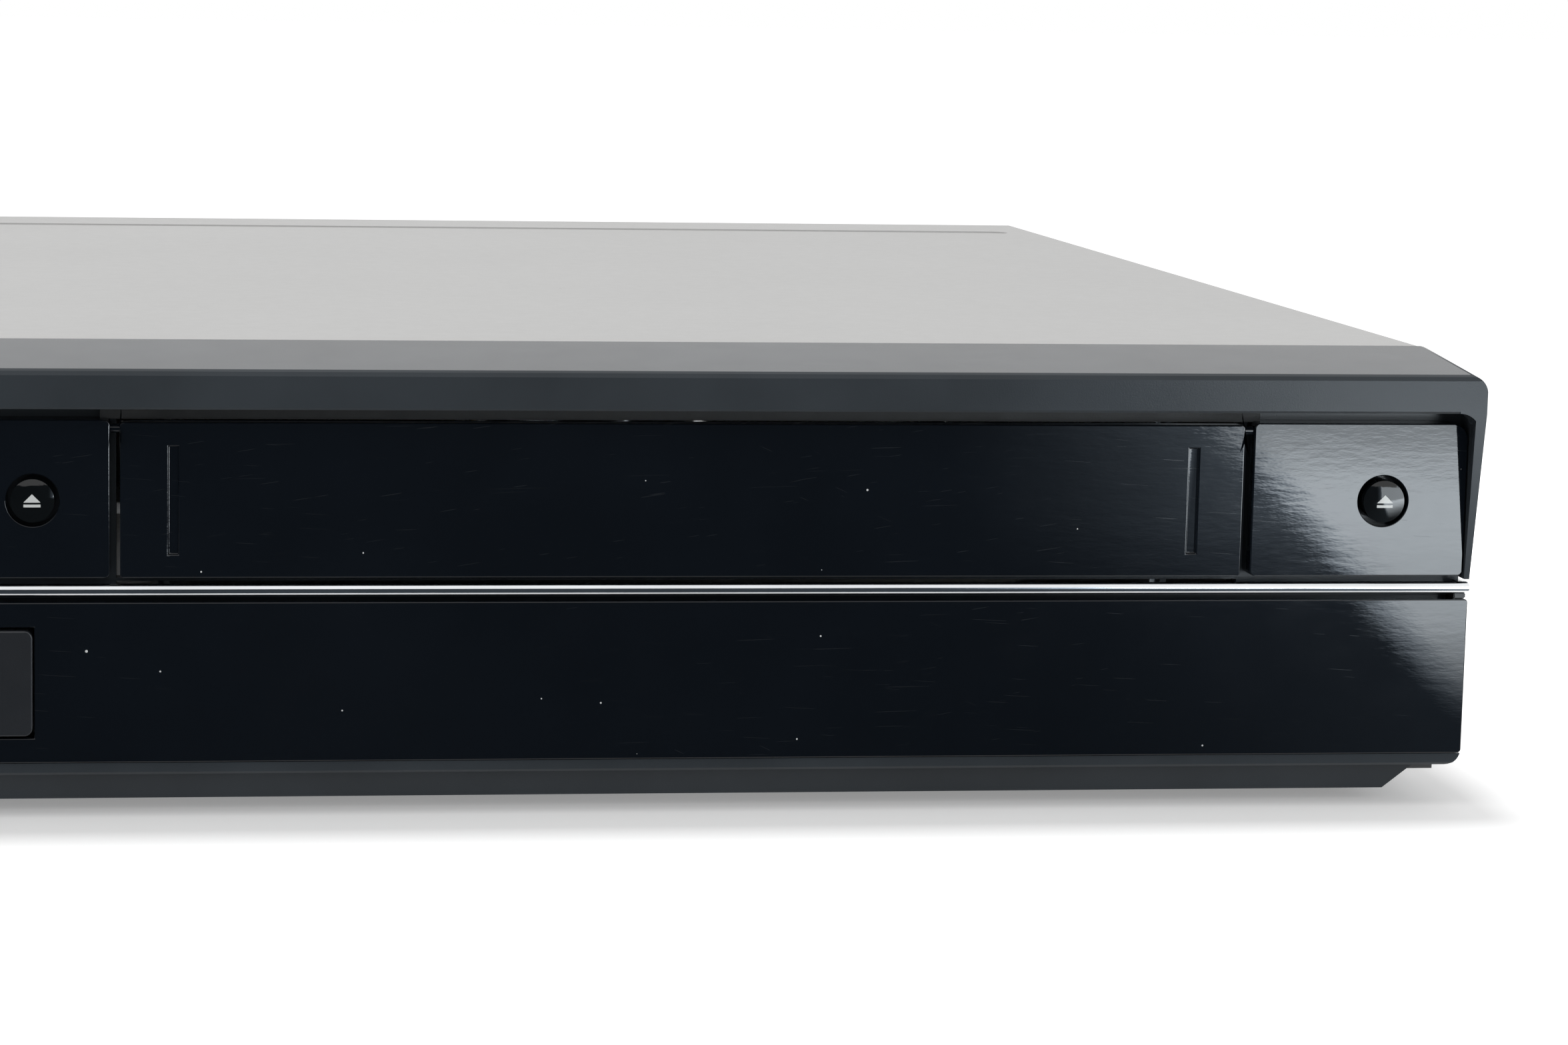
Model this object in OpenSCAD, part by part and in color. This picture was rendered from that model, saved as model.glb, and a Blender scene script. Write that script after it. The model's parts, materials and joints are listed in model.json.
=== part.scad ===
// Disc and tape combination player: a wide, low case with a disc tray on the left and a tape door on the right.
// X runs to the right, Z up, and the front looks along -Y. The origin is under the middle, at the feet's soles.

/* [Case] */
// Width over the front panels
body_w = 430; // [428:1:444]
// Depth from the tape door's face to the cover's rear edge
case_d = 345; // [342:1:380]
// Height of the feet
foot_h = 5.5; // [5:0.5:8]
// Thickness of the sheet steel
sheet_t = 1; // [0.8:0.1:1.2]
// How far the sockets stand out of the back
jack_out = 9; // [8:0.5:11]

/* [Front] */
// Height of the lower panel
lower_h = 29; // [28.2:0.2:35.2]
// Height of the bright strip
strip_h = 2.2; // [1.6:0.2:3]
// Width of the tape door
door_w = 203.8; // [203:0.2:204.6]
// Height of the tape door
door_h = 27.9; // [27.5:0.1:31]
// Middle of the tape door, right of the case's middle
door_x = 69.7; // [69:0.1:70.4]
// Height of the hood's front face
hood_h = 7; // [6:0.5:9]
// Rise of the hood from its front edge to the cover
hood_rise = 2.6; // [2:0.1:3.4]
// How far the hood stands out ahead of the tape door
hood_out = 5; // [3.5:0.5:7]

/* [Buttons] */
// Radius of the round buttons
round_r = 3.85; // [3.4:0.05:4.4]
// Ring gap round each round button
round_gap = 0.85; // [0.4:0.05:1]
// Width of the small keys
key_w = 13; // [10:0.5:14]
// Height of the small keys
key_h = 6; // [5:0.5:8]

/* [Disc drive] */
// Middle of the disc tray, left of the case's middle
tray_x = 125; // [124.5:0.1:126]
// Width of the disc tray
tray_w = 136; // [134:0.5:137]
// Radius of the disc well
well_r = 61; // [60.5:0.1:62]
// Radius of the turntable
platter_r = 15; // [13:0.5:16]
// Teeth of the tray gear
tray_teeth = 20; // [18:1:22]

/* [Tape deck] */
// Width of a tape cassette
tape_w = 187; // [186.5:0.1:188]
// Radius of the head drum
drum_r = 31; // [29:0.5:31.5]
// Radius of the reel tables
reel_r = 21; // [18:0.5:22]
// Radius of the capstan flywheel
flywheel_r = 27; // [24:0.5:28]

/* [Hidden] */
$fn = 64;

// Clearances
run_c = 0.05;
slide_c = 0.3;
panel_c = 0.3;
skim = 0.03;
seam_c = 0.3;
strip_c = 1.1;
side_c = 1.8;
hood_c = 2.9;

// Front stack, from the feet up. Depths are counted from the tape door's face.
half_w = body_w / 2;
panel_t = 5;
wall_t = 2.5;
back_y = panel_t + wall_t;
hood_t = 2.2;
cheek_t = 1;
cheek_flare = 1;
hood_r = 3.4;
mouth_r = 4;
edge_r = 3;
seam_y = 21.4;
tongue_y = 27;
y_front = -(case_d + jack_out - hood_out) / 2;
z_in = foot_h + sheet_t;
z_plinth = foot_h - 3;
z_lip = foot_h + 2.4;
lip_h = 2.2;
z_low = foot_h + 4.7;
z_low_top = z_low + lower_h;
z_strip = z_low_top + strip_c;
z_strip_top = z_strip + strip_h;
z_door = z_strip_top + strip_c;
z_door_top = z_door + door_h;
z_panel_top = z_door_top + 0.4;
z_hood = z_door_top + hood_c;
z_hood_top = z_hood + hood_h;
z_top = z_hood_top + hood_rise;
z_under = z_top - sheet_t;
z_mid = z_door + door_h / 2;
z_keys = z_low + lower_h / 2;

// Upper panels, left to right
panel_end = half_w - cheek_t - panel_c;
door_x0 = door_x - door_w / 2;
door_x1 = door_x + door_w / 2;
panel_left_x = door_x0 - side_c;
panel_right_x = door_x1 + side_c;

// Tape door
door_t = 1.8;
door_pin_r = 0.8;
door_pin_y = 1.5;
door_pin_l = 4.3;
door_barrel_r = 1.2;
door_pin_z = z_door_top - door_barrel_r;
door_groove_w = 1.8;
door_groove_t = 0.6;
door_groove_in = 9.4;
door_groove_h = 19.5;

// Cover and chassis
cover_half = half_w - 1.5;
chassis_half = cover_half - sheet_t;
cover_r = 2.4;
rear_y = case_d - 2 * sheet_t;
lip_drop = 12;
groove_y = case_d - 30;
groove_w = 8;
groove_half = cover_half - 10;
groove_t = 0.4;
flange_h = 16;
screw_z = z_in + 10;
screw_r = 1.45;
screw_hole_r = 1.5;
screw_head_r = 3;
screw_head_t = 1.2;
side_screw_y = [90, 260];
rear_screw_x = [-150, 0, 150];
rear_screw_z = z_top - 7;
foot_r = 12;
foot_x = 170;
foot_ys = [35, case_d - 35];
foot_peg_r = 2.9;
vent_w = 3;
vent_pitch = 7;

// Buttons
button_ys = [-0.6, 4];
stem_r = 2.4;
stem_y = 11.5;
switch_y = 12.5;
board_y = 16;
board_t = 1.6;
dome_r = 12;
dome_out = 1.2;
eject_x = panel_end - 15.7;
power_x = 9.7 - panel_end;
open_x = panel_left_x - 13.5;
key_pitch = 18;
key_x0 = -140;
rocker_x = key_x0 + 5 * key_pitch - 2;
rocker_w = 9;
rocker_h = 19;
rocker_pin_y = 2.6;
rocker_stem_z = 6;
display_x0 = 0;
display_x1 = 90;
display_h = 19;
jack_xs = [-196, -178, -160];
jack_r = 4.15;
jack_bore_r = 1.65;
jack_hole_r = 5.2;
board_post_xs = [jack_xs[0] - 11, jack_xs[2] + 12, display_x0 - 20, display_x1 + 7];

// Disc drive
drive_half = tray_w / 2 + 3;
drive_wall = 2.5;
drive_y0 = back_y + 0.5;
drive_y1 = 193.5;
z_drive = z_mid - 23.5;
drive_floor = 2.5;
z_rail_top = z_mid + 8.5;
tray_y1 = 180.5;
tray_back = 4.5;
tray_z0 = z_mid - 6.5;
tray_z1 = z_mid + 1.5;
well_t = 4;
well_small_r = 41;
disc_y = 77.5;
slot_half = 33;
cap_half = tray_w / 2 + 1;
cap_z0 = z_mid - 10;
cap_z1 = z_mid + 9;
cap_c = 0.4;
rack_x = 49;
rack_w = 4;
rack_z0 = z_mid - 9.5;
tooth_m = 1;
tray_gear_r = tooth_m * tray_teeth / 2;
gear_x = rack_x - 1.1 * tooth_m - tray_gear_r + 0.1;
gear_y = 28.5;
traverse_half = 40;
traverse_y0 = 58.5;
traverse_y1 = 189.5;
traverse_z0 = z_mid - 19.5;
traverse_t = 2.5;
pivot_y = 183.5;
pivot_r = 2;
pivot_z = traverse_z0 + traverse_t / 2;
rod_x = 22;
rod_r = 1.5;
rod_z = traverse_z0 + 5.5;
rod_y0 = 64;
rod_y1 = 170;
screw_x = -28;
lead_r = 1.8;
pickup_y = disc_y + 23;
clamp_half_y = 17.5;
bridge_t = 1.2;
pulley_r = 12;
pulley_small_r = 4;
pulley_z0 = z_drive + drive_floor + 2;
pulley_h = 3.2;
motor_dx = -5;
motor_y = 30;
motor_shaft_r = 1;
belt_t = 1;

// Tape deck
tape_h = 25;
tape_d = 103;
deck_z = z_in + 11.5;
deck_t = 1.2;
z_deck = deck_z + deck_t;
holder_t = 1;
holder_half = tape_w / 2 + 0.6;
frame_half = holder_half + holder_t + 2.2;
frame_t = 1.2;
holder_y0 = 30.5;
holder_y1 = holder_y0 + tape_d;
z_tape = z_door + 0.3;
holder_pin_z = z_tape + 11;
holder_pin_r = 1.5;
holder_pin_ys = [60, 110];
holder_drop = 19;
deck_y0 = 28;
deck_y1 = 226;
reel_dx = 46;
reel_y = 81.5;
drum_y = 185.5;
drum_tilt = 6;
drum_low_h = 15;
drum_up_h = 15;
drum_z = z_deck + 5;
guide_dx = 41;
guide_y = 145.5;
guide_travel = 40;
capstan_x = door_x + 58.3;
capstan_y = 147.5;
capstan_r = 2;
flywheel_z = z_in + 2.5;
flywheel_t = 5;
pinch_dx = 18;
pinch_dy = 22;
pinch_r = 6.5;
pinch_turn = 20;
pinch_post_r = 2;
pinch_z = z_deck + 32.8;
load_m = 0.8;
cam_teeth = 36;
pinion_teeth = 12;
cam_x = door_x + 78;
cam_y = 205;
cam_r = load_m * cam_teeth / 2;
load_gap = load_m * (cam_teeth + pinion_teeth) / 2 + 0.1;

// Boards
z_board = z_in + 6;
main_x0 = -40;
main_x1 = 198;
main_y0 = 236;
main_y1 = rear_y - 8;
power_x0 = -202;
power_x1 = -58;
power_y0 = 205;
core_x = power_x1 - 48;
core_y = power_y0 + 41;
phono_x0 = 26;
phono_pitch = 14;
phono_zs = [z_board + 13, z_board + 29];
tuner_x = 124;
stud_r = 4.7;
collar_out = 1.5;
stud_z = z_board + 16;
inlet_x = -176;
inlet_z = z_in + 24;
inlet_w = 17.4;
inlet_half = 12.6;
inlet_h = 8.8;

// ---------------------------------------------------------------- helpers

module placed() translate([0, y_front, 0]) children();

module block(x0, x1, y0, y1, z0, z1) translate([x0, y0, z0]) cube([x1 - x0, y1 - y0, z1 - z0]);

module post(x, y, z0, z1, r) translate([x, y, z0]) cylinder(r = r, h = z1 - z0);

module rod_along_x(x0, x1, y, z, r) translate([x0, y, z]) rotate([0, 90, 0]) cylinder(r = r, h = x1 - x0);

module rod_along_y(x, y0, y1, z, r) translate([x, y0, z]) rotate([-90, 0, 0]) cylinder(r = r, h = y1 - y0);

// Outline with its own radius at each corner: bottom left, bottom right, top right, top left
module outline(w, h, rs) {
    ends = [[0, 0], [w, 0], [w, h], [0, h]];
    insides = [[1, 1], [-1, 1], [-1, -1], [1, -1]];
    difference() {
        square([w, h]);
        for (i = [0:3])
            translate(ends[i]) square(2 * rs[i], center = true);
    }
    for (i = [0:3])
        translate(ends[i] + insides[i] * rs[i]) circle(rs[i]);
}

// Upright plate, seen from the front
module upright(x0, x1, z0, z1, y0, y1, rs)
    translate([x0, y1, z0]) rotate([90, 0, 0]) linear_extrude(y1 - y0) outline(x1 - x0, z1 - z0, rs);

// Shape drawn in Y and Z, drawn out along X
module along_x(x0, x1) translate([x0, 0, 0]) rotate([90, 0, 90]) linear_extrude(x1 - x0) children();

// Flat slot with round ends along X
module stadium_x(x0, x1, y, w, z0, z1) {
    block(x0 + w / 2, x1 - w / 2, y - w / 2, y + w / 2, z0, z1);
    post(x0 + w / 2, y, z0, z1, w / 2);
    post(x1 - w / 2, y, z0, z1, w / 2);
}

module at_four(x0, x1, y0, y1) {
    for (x = [x0, x1], y = [y0, y1])
        translate([x, y, 0]) children();
}

module mirrored_x() {
    children();
    mirror([1, 0, 0]) children();
}

module in_drive() translate([-tray_x, 0, 0]) children();

module in_deck() translate([door_x, 0, 0]) children();

// Spur gear with straight-sided teeth, one tooth centred on +X
module gear(teeth, m, h, bore_r) {
    root_r = m * (teeth / 2 - 1.1);
    tip_r = m * (teeth / 2 + 0.8);
    step = 360 / teeth;
    sides = [[-0.29, root_r], [-0.11, tip_r], [0.11, tip_r], [0.29, root_r]];
    difference() {
        linear_extrude(h)
            polygon([for (i = [0:teeth - 1], s = sides) let (a = (i + s[0]) * step) s[1] * [cos(a), sin(a)]]);
        translate([0, 0, -1]) cylinder(r = bore_r, h = h + 2);
    }
}

// ---------------------------------------------------------------- shell

module foot_holes(r) {
    for (x = [-foot_x, foot_x], y = foot_ys)
        post(x, y, foot_h - 1, z_in + 1, r);
}

module chassis_base() placed() color("#b9bcbe") {
    difference() {
        union() {
            block(-chassis_half, chassis_half, back_y, rear_y, foot_h, z_in);
            mirrored_x() block(chassis_half - sheet_t, chassis_half, tongue_y, rear_y, z_in, z_in + flange_h);
            block(-chassis_half, chassis_half, back_y, back_y + sheet_t, z_in, z_in + 5);
        }
        foot_holes(foot_peg_r + run_c);
        mirrored_x() for (y = side_screw_y)
            rod_along_x(chassis_half - 2 * sheet_t, chassis_half + 1, y, screw_z, screw_hole_r);
        for (i = [0:7])
            stadium_x(-190, -130, 215 + i * 10, 3, foot_h - 1, z_in + 1);
    }
}

module board_spacers() placed() color("#a9adaf") {
    at_four(main_x0 + 8, main_x1 - 8, main_y0 + 8, main_y1 - 8) post(0, 0, z_in, z_board, 3);
    at_four(power_x0 + 8, power_x1 - 8, power_y0 + 8, main_y1 - 8) post(0, 0, z_in, z_board, 3);
    in_deck() at_four(-frame_half + 9, frame_half - 9, deck_y0 + 9, deck_y1 - 9)
        post(0, 0, z_in, deck_z, 4);
}

module rear_panel() placed() color("#c3c5c6") {
    difference() {
        union() {
            upright(-chassis_half + 0.1, chassis_half - 0.1, z_in, z_under - 0.1, rear_y, rear_y + sheet_t,
                [1, 1, cover_r, cover_r]);
            block(-chassis_half + 2, chassis_half - 2, rear_y - 7, rear_y, z_in, z_in + sheet_t);
        }
        for (i = [0:4], z = phono_zs)
            rod_along_y(phono_x0 + i * phono_pitch, rear_y - 1, rear_y + 2, z, jack_hole_r);
        for (x = [tuner_x, tuner_x + 26])
            rod_along_y(x, rear_y - 1, rear_y + 2, stud_z, stud_r + 0.3);
        block(inlet_x - inlet_half - 0.4, inlet_x + inlet_half + 0.4, rear_y - 1, rear_y + 2, inlet_z - 10,
            inlet_z + 10);
        for (x = rear_screw_x)
            rod_along_y(x, rear_y - 1, rear_y + 2, rear_screw_z, screw_hole_r);
        for (i = [0:11])
            block(-120 + i * vent_pitch, -120 + i * vent_pitch + vent_w, rear_y - 1, rear_y + 2, z_mid - 8, z_mid + 10);
    }
}

module top_cover() placed() color("#c9cac8") {
    difference() {
        union() {
            difference() {
                upright(-cover_half, cover_half, z_in - 6, z_top, seam_y, case_d, [1, 1, cover_r, cover_r]);
                upright(-chassis_half, chassis_half, z_in - 9, z_under, seam_y - 1, case_d - sheet_t,
                    [1, 1, cover_r - sheet_t, cover_r - sheet_t]);
                block(-chassis_half, chassis_half, case_d - 2 * sheet_t, case_d + 1, 0, z_top - lip_drop);
                block(-half_w, half_w, 0, case_d + 1, -10, z_in);
            }
            stadium_x(-groove_half - 1, groove_half + 1, groove_y, groove_w + 2, z_under - groove_t, z_under);
        }
        stadium_x(-groove_half, groove_half, groove_y, groove_w, z_top - groove_t, z_top + 1);
        mirrored_x() for (y = side_screw_y)
            rod_along_x(chassis_half - 1, cover_half + 1, y, screw_z, screw_hole_r);
        for (x = rear_screw_x)
            rod_along_y(x, case_d - 2 * sheet_t, case_d + 1, rear_screw_z, screw_hole_r);
        mirrored_x() for (i = [0:13])
            block(chassis_half - 1, cover_half + 1, 215 + i * vent_pitch, 215 + i * vent_pitch + vent_w,
                z_mid - 22, z_mid + 4);
    }
}

// Hood, upright wall and lower lip in one outline
module bezel_outline() {
    polygon([
        [seam_y - seam_c, z_top],
        [1 - hood_out, z_hood_top + 0.1],
        [0.3 - hood_out, z_hood_top - 0.25],
        [-hood_out, z_hood_top - 1],
        [-hood_out, z_hood + 0.4],
        [0.4 - hood_out, z_hood],
        [panel_t, z_hood],
        [panel_t, z_lip + lip_h],
        [0.3, z_lip + lip_h],
        [0.3, z_lip + 0.5],
        [0.8, z_lip],
        [back_y, z_lip],
        [back_y, z_hood + hood_t],
        [hood_t - hood_out, z_hood + hood_t],
        [hood_t - hood_out, z_hood_top - hood_t],
        [seam_y - seam_c, z_under - hood_t],
        [tongue_y, z_under - hood_t],
        [tongue_y, z_under],
        [seam_y - seam_c, z_under]
    ]);
}

module cheek_outline() {
    polygon([
        [seam_y - seam_c, z_top],
        [1 - hood_out, z_hood_top + 0.1],
        [0.3 - hood_out, z_hood_top - 0.25],
        [-hood_out, z_hood_top - 1],
        [-hood_out, z_hood],
        [-0.2, z_strip_top + 0.5],
        [panel_t, z_strip_top + 0.5],
        [panel_t, z_lip],
        [seam_y - seam_c, z_lip]
    ]);
}

// Side arm under the hood, in plan and from the side, with the rounded corner of the opening
module cheek() intersection() {
    along_x(half_w - cheek_t - mouth_r, half_w) cheek_outline();
    union() {
        linear_extrude(z_top + 1) polygon([
            [half_w - cheek_t - cheek_flare, -hood_out - 0.1], [half_w, -hood_out - 0.1],
            [half_w, seam_y - seam_c], [half_w - cheek_t, seam_y - seam_c], [half_w - cheek_t, -0.1]
        ]);
        difference() {
            block(half_w - cheek_t - mouth_r, half_w, -hood_out, -panel_c, z_hood - mouth_r, z_hood + 1);
            rod_along_y(half_w - cheek_t - mouth_r + skim, -hood_out - 1, 0, z_hood - mouth_r + skim, mouth_r);
        }
    }
}

// What rounds the hood's upper side edge, along the hood's slope
module hood_edge_cut() {
    run = seam_y - seam_c + hood_out - 1;
    translate([half_w - hood_r + skim, 1 - hood_out, z_hood_top + 0.1 - hood_r])
        rotate([atan((hood_rise - 0.1) / run), 0, 0]) difference() {
            translate([skim, -hood_out, skim]) cube([hood_r + 1, run + 2 * hood_out, hood_r + 1]);
            rod_along_y(0, -hood_out - 1, run + 2 * hood_out, 0, hood_r);
        }
}

module plinth() {
    translate([0, back_y, 0]) rotate([90, 0, 0]) linear_extrude(wall_t)
        polygon([
            [-half_w + 13, z_plinth], [half_w - 13, z_plinth],
            [half_w - 6, z_lip], [-half_w + 6, z_lip]
        ]);
    block(-half_w + 14, half_w - 14, back_y, back_y + 12, z_plinth, z_plinth + 2);
}

module round_button_holes(r, y0, y1) {
    for (x = [power_x, open_x, eject_x])
        rod_along_y(x, y0, y1, z_mid, r);
}

module key_holes(w, h, y0, y1) {
    for (i = [0:4])
        block(key_x0 + i * key_pitch - w / 2, key_x0 + i * key_pitch + w / 2, y0, y1, z_keys - h / 2, z_keys + h / 2);
}

module front_bezel() placed() color("#4b4e51") {
    difference() {
        union() {
            intersection() {
                upright(-half_w, half_w, z_lip, z_top, -hood_out - 1, tongue_y + 1,
                    [edge_r, edge_r, 1, 1]);
                union() {
                    along_x(-half_w, half_w) bezel_outline();
                    mirrored_x() cheek();
                }
            }
            plinth();
            for (x = board_post_xs)
                rod_along_y(x, back_y, board_y, z_low + 6, 2);
            for (x = [power_x, open_x, eject_x], z = [z_mid - 5.6, z_mid + 5.6])
                rod_along_y(x, back_y, board_y, z, 1.6);
        }
        mirrored_x() hood_edge_cut();
        // The tongue lies inside the cover
        mirrored_x() block(chassis_half - cover_r, half_w + 1, seam_y, tongue_y + 1, 0, z_top + 1);
        // Tape mouth
        block(door_x0 - 0.9, door_x1 + 0.9, panel_t - 1, back_y + 1, z_door - 0.8, z_door_top + 2);
        // Tray mouth
        in_drive() block(-tray_w / 2 - 0.6, tray_w / 2 + 0.6, panel_t - 1, back_y + 1, rack_z0 - 0.4, tray_z1 + 0.4);
        round_button_holes(stem_r + slide_c, panel_t - 1, back_y + 1);
        key_holes(6 + 2 * slide_c, 3 + 2 * slide_c, panel_t - 1, back_y + 1);
        for (s = [-1, 1])
            block(rocker_x - 1.5 - slide_c, rocker_x + 1.5 + slide_c, panel_t - 1, back_y + 1,
                z_keys + s * rocker_stem_z - 2.2, z_keys + s * rocker_stem_z + 2.2);
        block(display_x0, display_x1, panel_t - 1, back_y + 1, z_keys - display_h / 2, z_keys + display_h / 2);
        for (x = jack_xs)
            rod_along_y(x, panel_t - 1, back_y + 1, z_keys, jack_hole_r);
    }
}

module left_fascia() placed() color("#0c0e12") {
    difference() {
        upright(-panel_end, panel_left_x, z_door, z_panel_top, 0, panel_t, [1, 1, 1, edge_r]);
        in_drive() upright(-cap_half - cap_c, cap_half + cap_c, cap_z0 - cap_c, cap_z1 + cap_c, -1, panel_t + 1,
            [1, 1, 1, 1]);
        round_button_holes(round_r + round_gap, -1, panel_t + 1);
        rod_along_x(panel_left_x - 3, panel_left_x + 1, door_pin_y, door_pin_z, door_pin_r + run_c);
    }
}

module right_fascia() placed() color("#0c0e12") {
    difference() {
        upright(panel_right_x, panel_end, z_door, z_panel_top, 0, panel_t, [1, 1, edge_r, 1]);
        round_button_holes(round_r + round_gap, -1, panel_t + 1);
        rod_along_x(panel_right_x - 1, panel_right_x + 3, door_pin_y, door_pin_z, door_pin_r + run_c);
    }
}

module chrome_strip() placed() color("#d5d8db") {
    along_x(-half_w, half_w) {
        translate([0.4, z_strip]) square([panel_t - 0.4, strip_h]);
        translate([0.4, z_strip + strip_h / 2]) circle(strip_h / 2);
    }
}

module lower_fascia() placed() color("#08090c") {
    difference() {
        upright(-half_w, half_w, z_low, z_low_top, 0, panel_t, [0.8, 0.8, 0.6, 0.6]);
        key_holes(key_w + 2 * slide_c, key_h + 2 * slide_c, -1, panel_t + 1);
        block(rocker_x - rocker_w / 2 - slide_c, rocker_x + rocker_w / 2 + slide_c, -1, panel_t + 1,
            z_keys - rocker_h / 2 - 0.5, z_keys + rocker_h / 2 + 0.5);
        rod_along_x(rocker_x - rocker_w / 2 - 2, rocker_x + rocker_w / 2 + 2, rocker_pin_y, z_keys,
            door_pin_r + run_c);
        block(display_x0 + 1, display_x1 - 1, 2, panel_t + 1, z_keys - display_h / 2 + 1, z_keys + display_h / 2 - 1);
        for (x = jack_xs)
            rod_along_y(x, -1, panel_t + 1, z_keys, jack_hole_r);
    }
}

module vcr_door() placed() color("#0f1116") {
    difference() {
        union() {
            upright(door_x0, door_x1, z_door, z_door_top, 0, door_t, [0.6, 0.6, 0.6, 0.6]);
            rod_along_x(door_x0, door_x1, door_pin_y, door_pin_z, door_barrel_r);
            rod_along_x(door_x0 - door_pin_l, door_x1 + door_pin_l, door_pin_y, door_pin_z, door_pin_r);
        }
        for (x = [door_x0 + door_groove_in, door_x1 - door_groove_in])
            block(x - door_groove_w / 2, x + door_groove_w / 2, -1, door_groove_t,
                z_mid - door_groove_h / 2, z_mid + door_groove_h / 2);
    }
}

// ---------------------------------------------------------------- buttons

module round_button(x) placed() {
    intersection() {
        rod_along_y(x, -dome_out - 1, button_ys[1], z_mid, round_r);
        translate([x, dome_r - dome_out, z_mid]) sphere(dome_r);
    }
    rod_along_y(x, button_ys[1], stem_y, z_mid, stem_r);
}

module small_key(i) placed() {
    x = key_x0 + i * key_pitch;
    upright(x - key_w / 2, x + key_w / 2, z_keys - key_h / 2, z_keys + key_h / 2, button_ys[0], button_ys[1],
        [1, 1, 1, 1]);
    block(x - 3, x + 3, button_ys[1], stem_y, z_keys - 1.5, z_keys + 1.5);
}

module eject_button() color("#12151a") round_button(eject_x);
module power_button() color("#12151a") round_button(power_x);
module open_button() color("#12151a") round_button(open_x);
module rewind_key() color("#2a2d31") small_key(0);
module play_key() color("#2a2d31") small_key(1);
module forward_key() color("#2a2d31") small_key(2);
module stop_key() color("#2a2d31") small_key(3);
module record_key() color("#7a1f1f") small_key(4);

module channel_rocker() placed() color("#2a2d31") {
    upright(rocker_x - rocker_w / 2, rocker_x + rocker_w / 2, z_keys - rocker_h / 2, z_keys + rocker_h / 2,
        button_ys[0], button_ys[1], [1.5, 1.5, 1.5, 1.5]);
    rod_along_x(rocker_x - rocker_w / 2 - 1.8, rocker_x + rocker_w / 2 + 1.8, rocker_pin_y, z_keys, door_pin_r);
    for (s = [-1, 1])
        block(rocker_x - 1.5, rocker_x + 1.5, button_ys[1], stem_y, z_keys + s * rocker_stem_z - 1.2,
            z_keys + s * rocker_stem_z + 1.2);
}

module switch_at(x, z) {
    block(x - 3, x + 3, switch_y + 0.5, board_y, z - 3, z + 3);
    rod_along_y(x, switch_y, switch_y + 0.5, z, 1.7);
}

module key_switches() placed() color("#1c1c1e") {
    for (x = [power_x, open_x, eject_x])
        switch_at(x, z_mid);
    for (i = [0:4])
        switch_at(key_x0 + i * key_pitch, z_keys);
    for (s = [-1, 1])
        switch_at(rocker_x, z_keys + s * rocker_stem_z);
}

module front_boards() placed() color("#a8823f") {
    block(board_post_xs[0] - 3, board_post_xs[3] + 3, board_y, board_y + board_t, z_low + 2, z_drive - 0.6);
    for (x = [power_x, open_x, eject_x])
        block(x - 6, x + 6, board_y, board_y + board_t, z_mid - 8, z_mid + 8);
}

module display_module() placed() color("#20343a") {
    block(display_x0 + 2, display_x1 - 2, back_y + 1, board_y, z_keys - display_h / 2 + 0.5,
        z_keys + display_h / 2 - 0.5);
    block(display_x0 + 6, display_x1 - 6, back_y - 1, back_y + 1, z_keys - display_h / 2 + 3,
        z_keys + display_h / 2 - 3);
}

module front_jacks() placed() color("#c9b24a") {
    difference() {
        union() {
            block(jack_xs[0] - 8, jack_xs[2] + 8, back_y, board_y, z_keys - 9, z_keys + 9);
            for (x = jack_xs)
                rod_along_y(x, -3.5, back_y, z_keys, jack_r);
        }
        for (x = jack_xs)
            rod_along_y(x, -4.5, 5, z_keys, jack_bore_r);
    }
}

// ---------------------------------------------------------------- disc drive

module drive_frame() placed() in_drive() color("#3a3d40") {
    inner = drive_half - drive_wall;
    difference() {
        union() {
            block(-drive_half, drive_half, drive_y0, drive_y1, z_drive, z_drive + drive_floor);
            mirrored_x() block(inner, drive_half, drive_y0, drive_y1, z_drive, z_rail_top);
            block(-drive_half, drive_half, drive_y1 - drive_wall, drive_y1, z_drive, z_rail_top);
            mirrored_x() block(inner - 7.5, inner, drive_y0, drive_y1 - drive_wall, z_mid - 10, tray_z0 - slide_c);
            mirrored_x() block(inner - 5, inner, drive_y0, drive_y1 - drive_wall, tray_z1 + slide_c, tray_z1 + 2.3);
            at_four(8 - drive_half, drive_half - 8, drive_y0 + 44, drive_y1 - 8)
                post(0, 0, z_in, z_drive, 4);
            mirrored_x() block(traverse_half + 0.5, traverse_half + 6.5, pivot_y - 5, pivot_y + 5, z_drive,
                pivot_z + 4);
            post(gear_x, gear_y, z_drive, rack_z0, pivot_r);
        }
        block(-traverse_half - 0.5, traverse_half + 0.5, traverse_y0 - 6, drive_y1 - drive_wall, z_drive - 1,
            z_drive + drive_floor + 1);
        mirrored_x() rod_along_x(traverse_half - 1, traverse_half + 8, pivot_y, pivot_z, pivot_r + run_c);
        post(motor_dx, motor_y, z_drive - 1, z_drive + drive_floor + 1, 3);
    }
}

// Rack teeth point to -X and lie on the tray gear's centre line at rest
module rack(y0, y1) {
    pitch = PI * tooth_m;
    line_x = gear_x + tray_gear_r;
    count = floor((y1 - gear_y) / pitch - 0.5);
    first = ceil((y0 - gear_y) / pitch - 0.5);
    sides = [[1.1, -0.29], [-0.8, -0.11], [-0.8, 0.11], [1.1, 0.29]];
    linear_extrude(tray_z0 - rack_z0)
        polygon(concat(
            [[rack_x + rack_w, y0]],
            [[line_x + 1.1 * tooth_m, y0]],
            [for (i = [first:count], s = sides)
                [line_x + s[0] * tooth_m, gear_y + (i + 0.5 + s[1]) * pitch]],
            [[line_x + 1.1 * tooth_m, y1]],
            [[rack_x + rack_w, y1]]
        ));
}

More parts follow.
